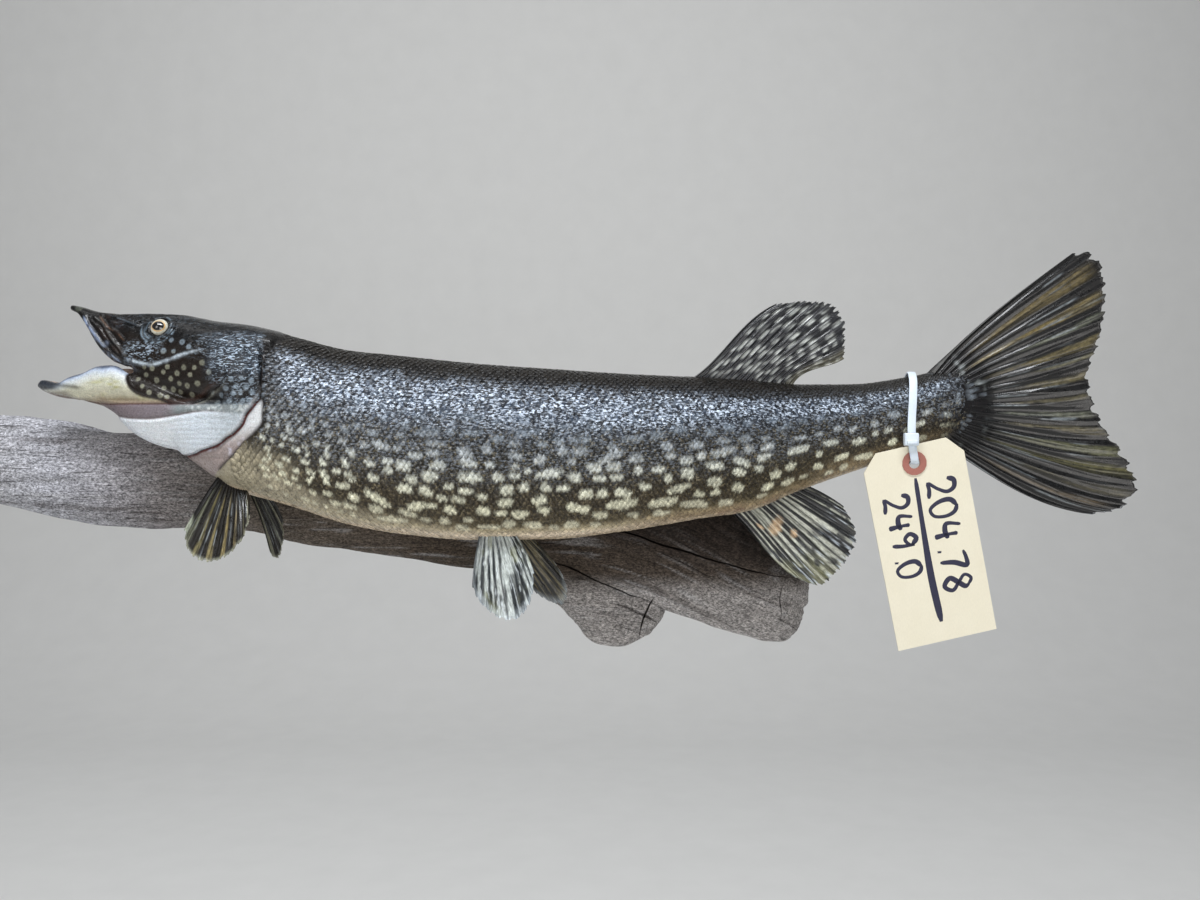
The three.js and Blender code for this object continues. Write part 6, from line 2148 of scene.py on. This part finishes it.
def make_tie():
    count = 220
    path = even(STRAP_PATH, count, closed=True)
    ahead = np.roll(path, -1, axis=0) - np.roll(path, 1, axis=0)
    ahead = unit(ahead)
    wide = np.array([1.0, 0, 0])
    out = np.cross(wide, ahead)
    out = unit(out)
    profile = [
        (-2.4, 0.1), (-2.15, 0.55), (-1.5, 0.6), (-1.25, 0.42), (1.25, 0.42), (1.5, 0.6),
        (2.15, 0.55), (2.4, 0.1), (2.3, -0.4), (1.9, -0.6), (-1.9, -0.6), (-2.3, -0.4),
    ]
    rings = []
    for k in range(count):
        tooth = 0.12 * (k % 2)
        ring = []
        for a, b in profile:
            lift = b - tooth if abs(a) < 1.3 and b > 0 else b
            ring.append(path[k] + a * wide + lift * out[k])
        rings.append(ring)
    rings = np.array(rings)
    around = len(profile)
    points = rings.reshape(-1, 3)
    faces = grid_faces(count, around, wrap=True)
    j = np.arange(around)
    nxt = (j + 1) % around
    last = np.stack([j + (count - 1) * around, nxt + (count - 1) * around, nxt, j], -1)
    strap = make("strap", points, [faces, last])
    lock = bevelled(block("lock", 8.4, 4.8, 7.4, *LOCK), 0.9, 4)
    lock = cut(lock, block("slot_tool", 5.4, 1.5, 12, LOCK[0] + 0.7, LOCK[1] + 1.75, LOCK[2]))
    lip = block("lip", 6.2, 1.2, 2.2, LOCK[0], LOCK[1] - 2.6, LOCK[2] - 1.6)
    piece = join("tie_strap", [strap, lock, bevelled(lip, 0.4, 3)])
    piece.data.shade_smooth()
    piece.data.set_sharp_from_angle(angle=math.radians(35))
    return piece


ink = plain_material("blue-black ink", rgb(22, 22, 48), rgb(40, 40, 70), 0.5, (0.4, 0.6), 0.03)
finish_piece(make_ink(), ink.material, "tag_card")
tie = plain_material("milky nylon", rgb(206, 220, 232), rgb(222, 230, 238), 0.3, (0.25, 0.4), 0.05)
tie.set(Subsurface_Weight=0.25, Subsurface_Radius=(0.002, 0.002, 0.0025))
finish_piece(make_tie(), tie.material, "cable_tie", "cable_tie")
patch = plain_material("red fibre", rgb(150, 92, 82), rgb(178, 118, 104), 1.2, (0.6, 0.8), 0.1)
steel = plain_material("zinc plate", rgb(176, 178, 182), rgb(206, 206, 204), 0.4, (0.24, 0.42), 0.04, 1.0)
_finishes = {
    "tag_card": card_material(), "tag_patch": patch.material, "hanger_plate": steel.material,
    "screw_front": steel.material, "screw_rear": steel.material,
}
for name, material in _finishes.items():
    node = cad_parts[name]
    node.data.materials.clear()
    node.data.materials.append(material)

# ---- the stage, in metres ------------------------------------------------------

FLOOR = -0.45


def backdrop():
    """A pale floor that curves up into a wall behind the object."""
    far, bend, top = 1.1, 0.7, 3.2
    # the bend's first point comes twice, which keeps the floor's shading flat
    profile = [(-2.6, FLOOR), (far, FLOOR)]
    for a in np.linspace(0, math.pi / 2, 13):
        profile.append((far + bend * math.sin(a), FLOOR + bend * (1 - math.cos(a))))
    profile.append((far + bend, top))
    points = [(x / MM, y / MM, z / MM) for y, z in profile for x in (-4.5, 4.5)]
    piece = make("backdrop", points, [grid_faces(len(profile), 2)])
    m = Nodes("pale paper")
    at = m.place()
    colour = m.blend(m.noise(at, 0.02, 4), rgb(214, 214, 212), rgb(222, 222, 220))
    rough = m.ramp(m.noise(at, 0.05), (0.3, 0.75), (0.7, 0.9))
    m.set(Base_Color=colour, Roughness=rough, Normal=m.relief(m.noise(at, 0.6), 0.05, 0.4))
    piece.data.materials.append(m.material)


def lamp(name, place, target, width, height, power_watts, colour=(1, 1, 1)):
    data = bpy.data.lights.new(name, "AREA")
    data.shape = "RECTANGLE"
    data.size, data.size_y = width, height
    data.energy = power_watts
    data.color = colour
    piece = bpy.data.objects.new(name, data)
    bpy.context.scene.collection.objects.link(piece)
    piece.location = place
    piece.rotation_euler = (Vector(target) - Vector(place)).to_track_quat("-Z", "Y").to_euler()


backdrop()
lamp("key", (0.0, -0.95, 1.45), (0.03, -0.06, 0.03), 1.7, 0.22, 33, (0.95, 0.97, 1.0))
lamp("fill", (-1.0, -1.5, 0.45), (0, -0.05, 0.0), 0.8, 0.8, 6, (1.0, 0.98, 0.95))
lamp("low", (0.6, -1.7, 0.0), (0, -0.05, 0.0), 0.9, 0.6, 7, (1.0, 0.97, 0.94))
lamp("back", (0.0, 0.1, 1.7), (0, 1.6, 0.3), 2.4, 0.6, 9)

world = bpy.data.worlds.new("studio")
world.use_nodes = True
world.node_tree.nodes["Background"].inputs[0].default_value = (0.86, 0.88, 0.92, 1)
world.node_tree.nodes["Background"].inputs[1].default_value = 0.19
bpy.context.scene.world = world
bpy.context.scene.view_settings.view_transform = "Standard"

camera = bpy.data.objects.new("camera", bpy.data.cameras.new("camera"))
camera.data.lens = 32.58
camera.data.sensor_width = 36
camera.data.clip_start = 0.01
camera.location = (0.100, -0.700, 0.030)
camera.rotation_euler = (math.pi / 2, 0, 0)
bpy.context.scene.collection.objects.link(camera)
bpy.context.scene.camera = camera

bpy.context.view_layer.update()
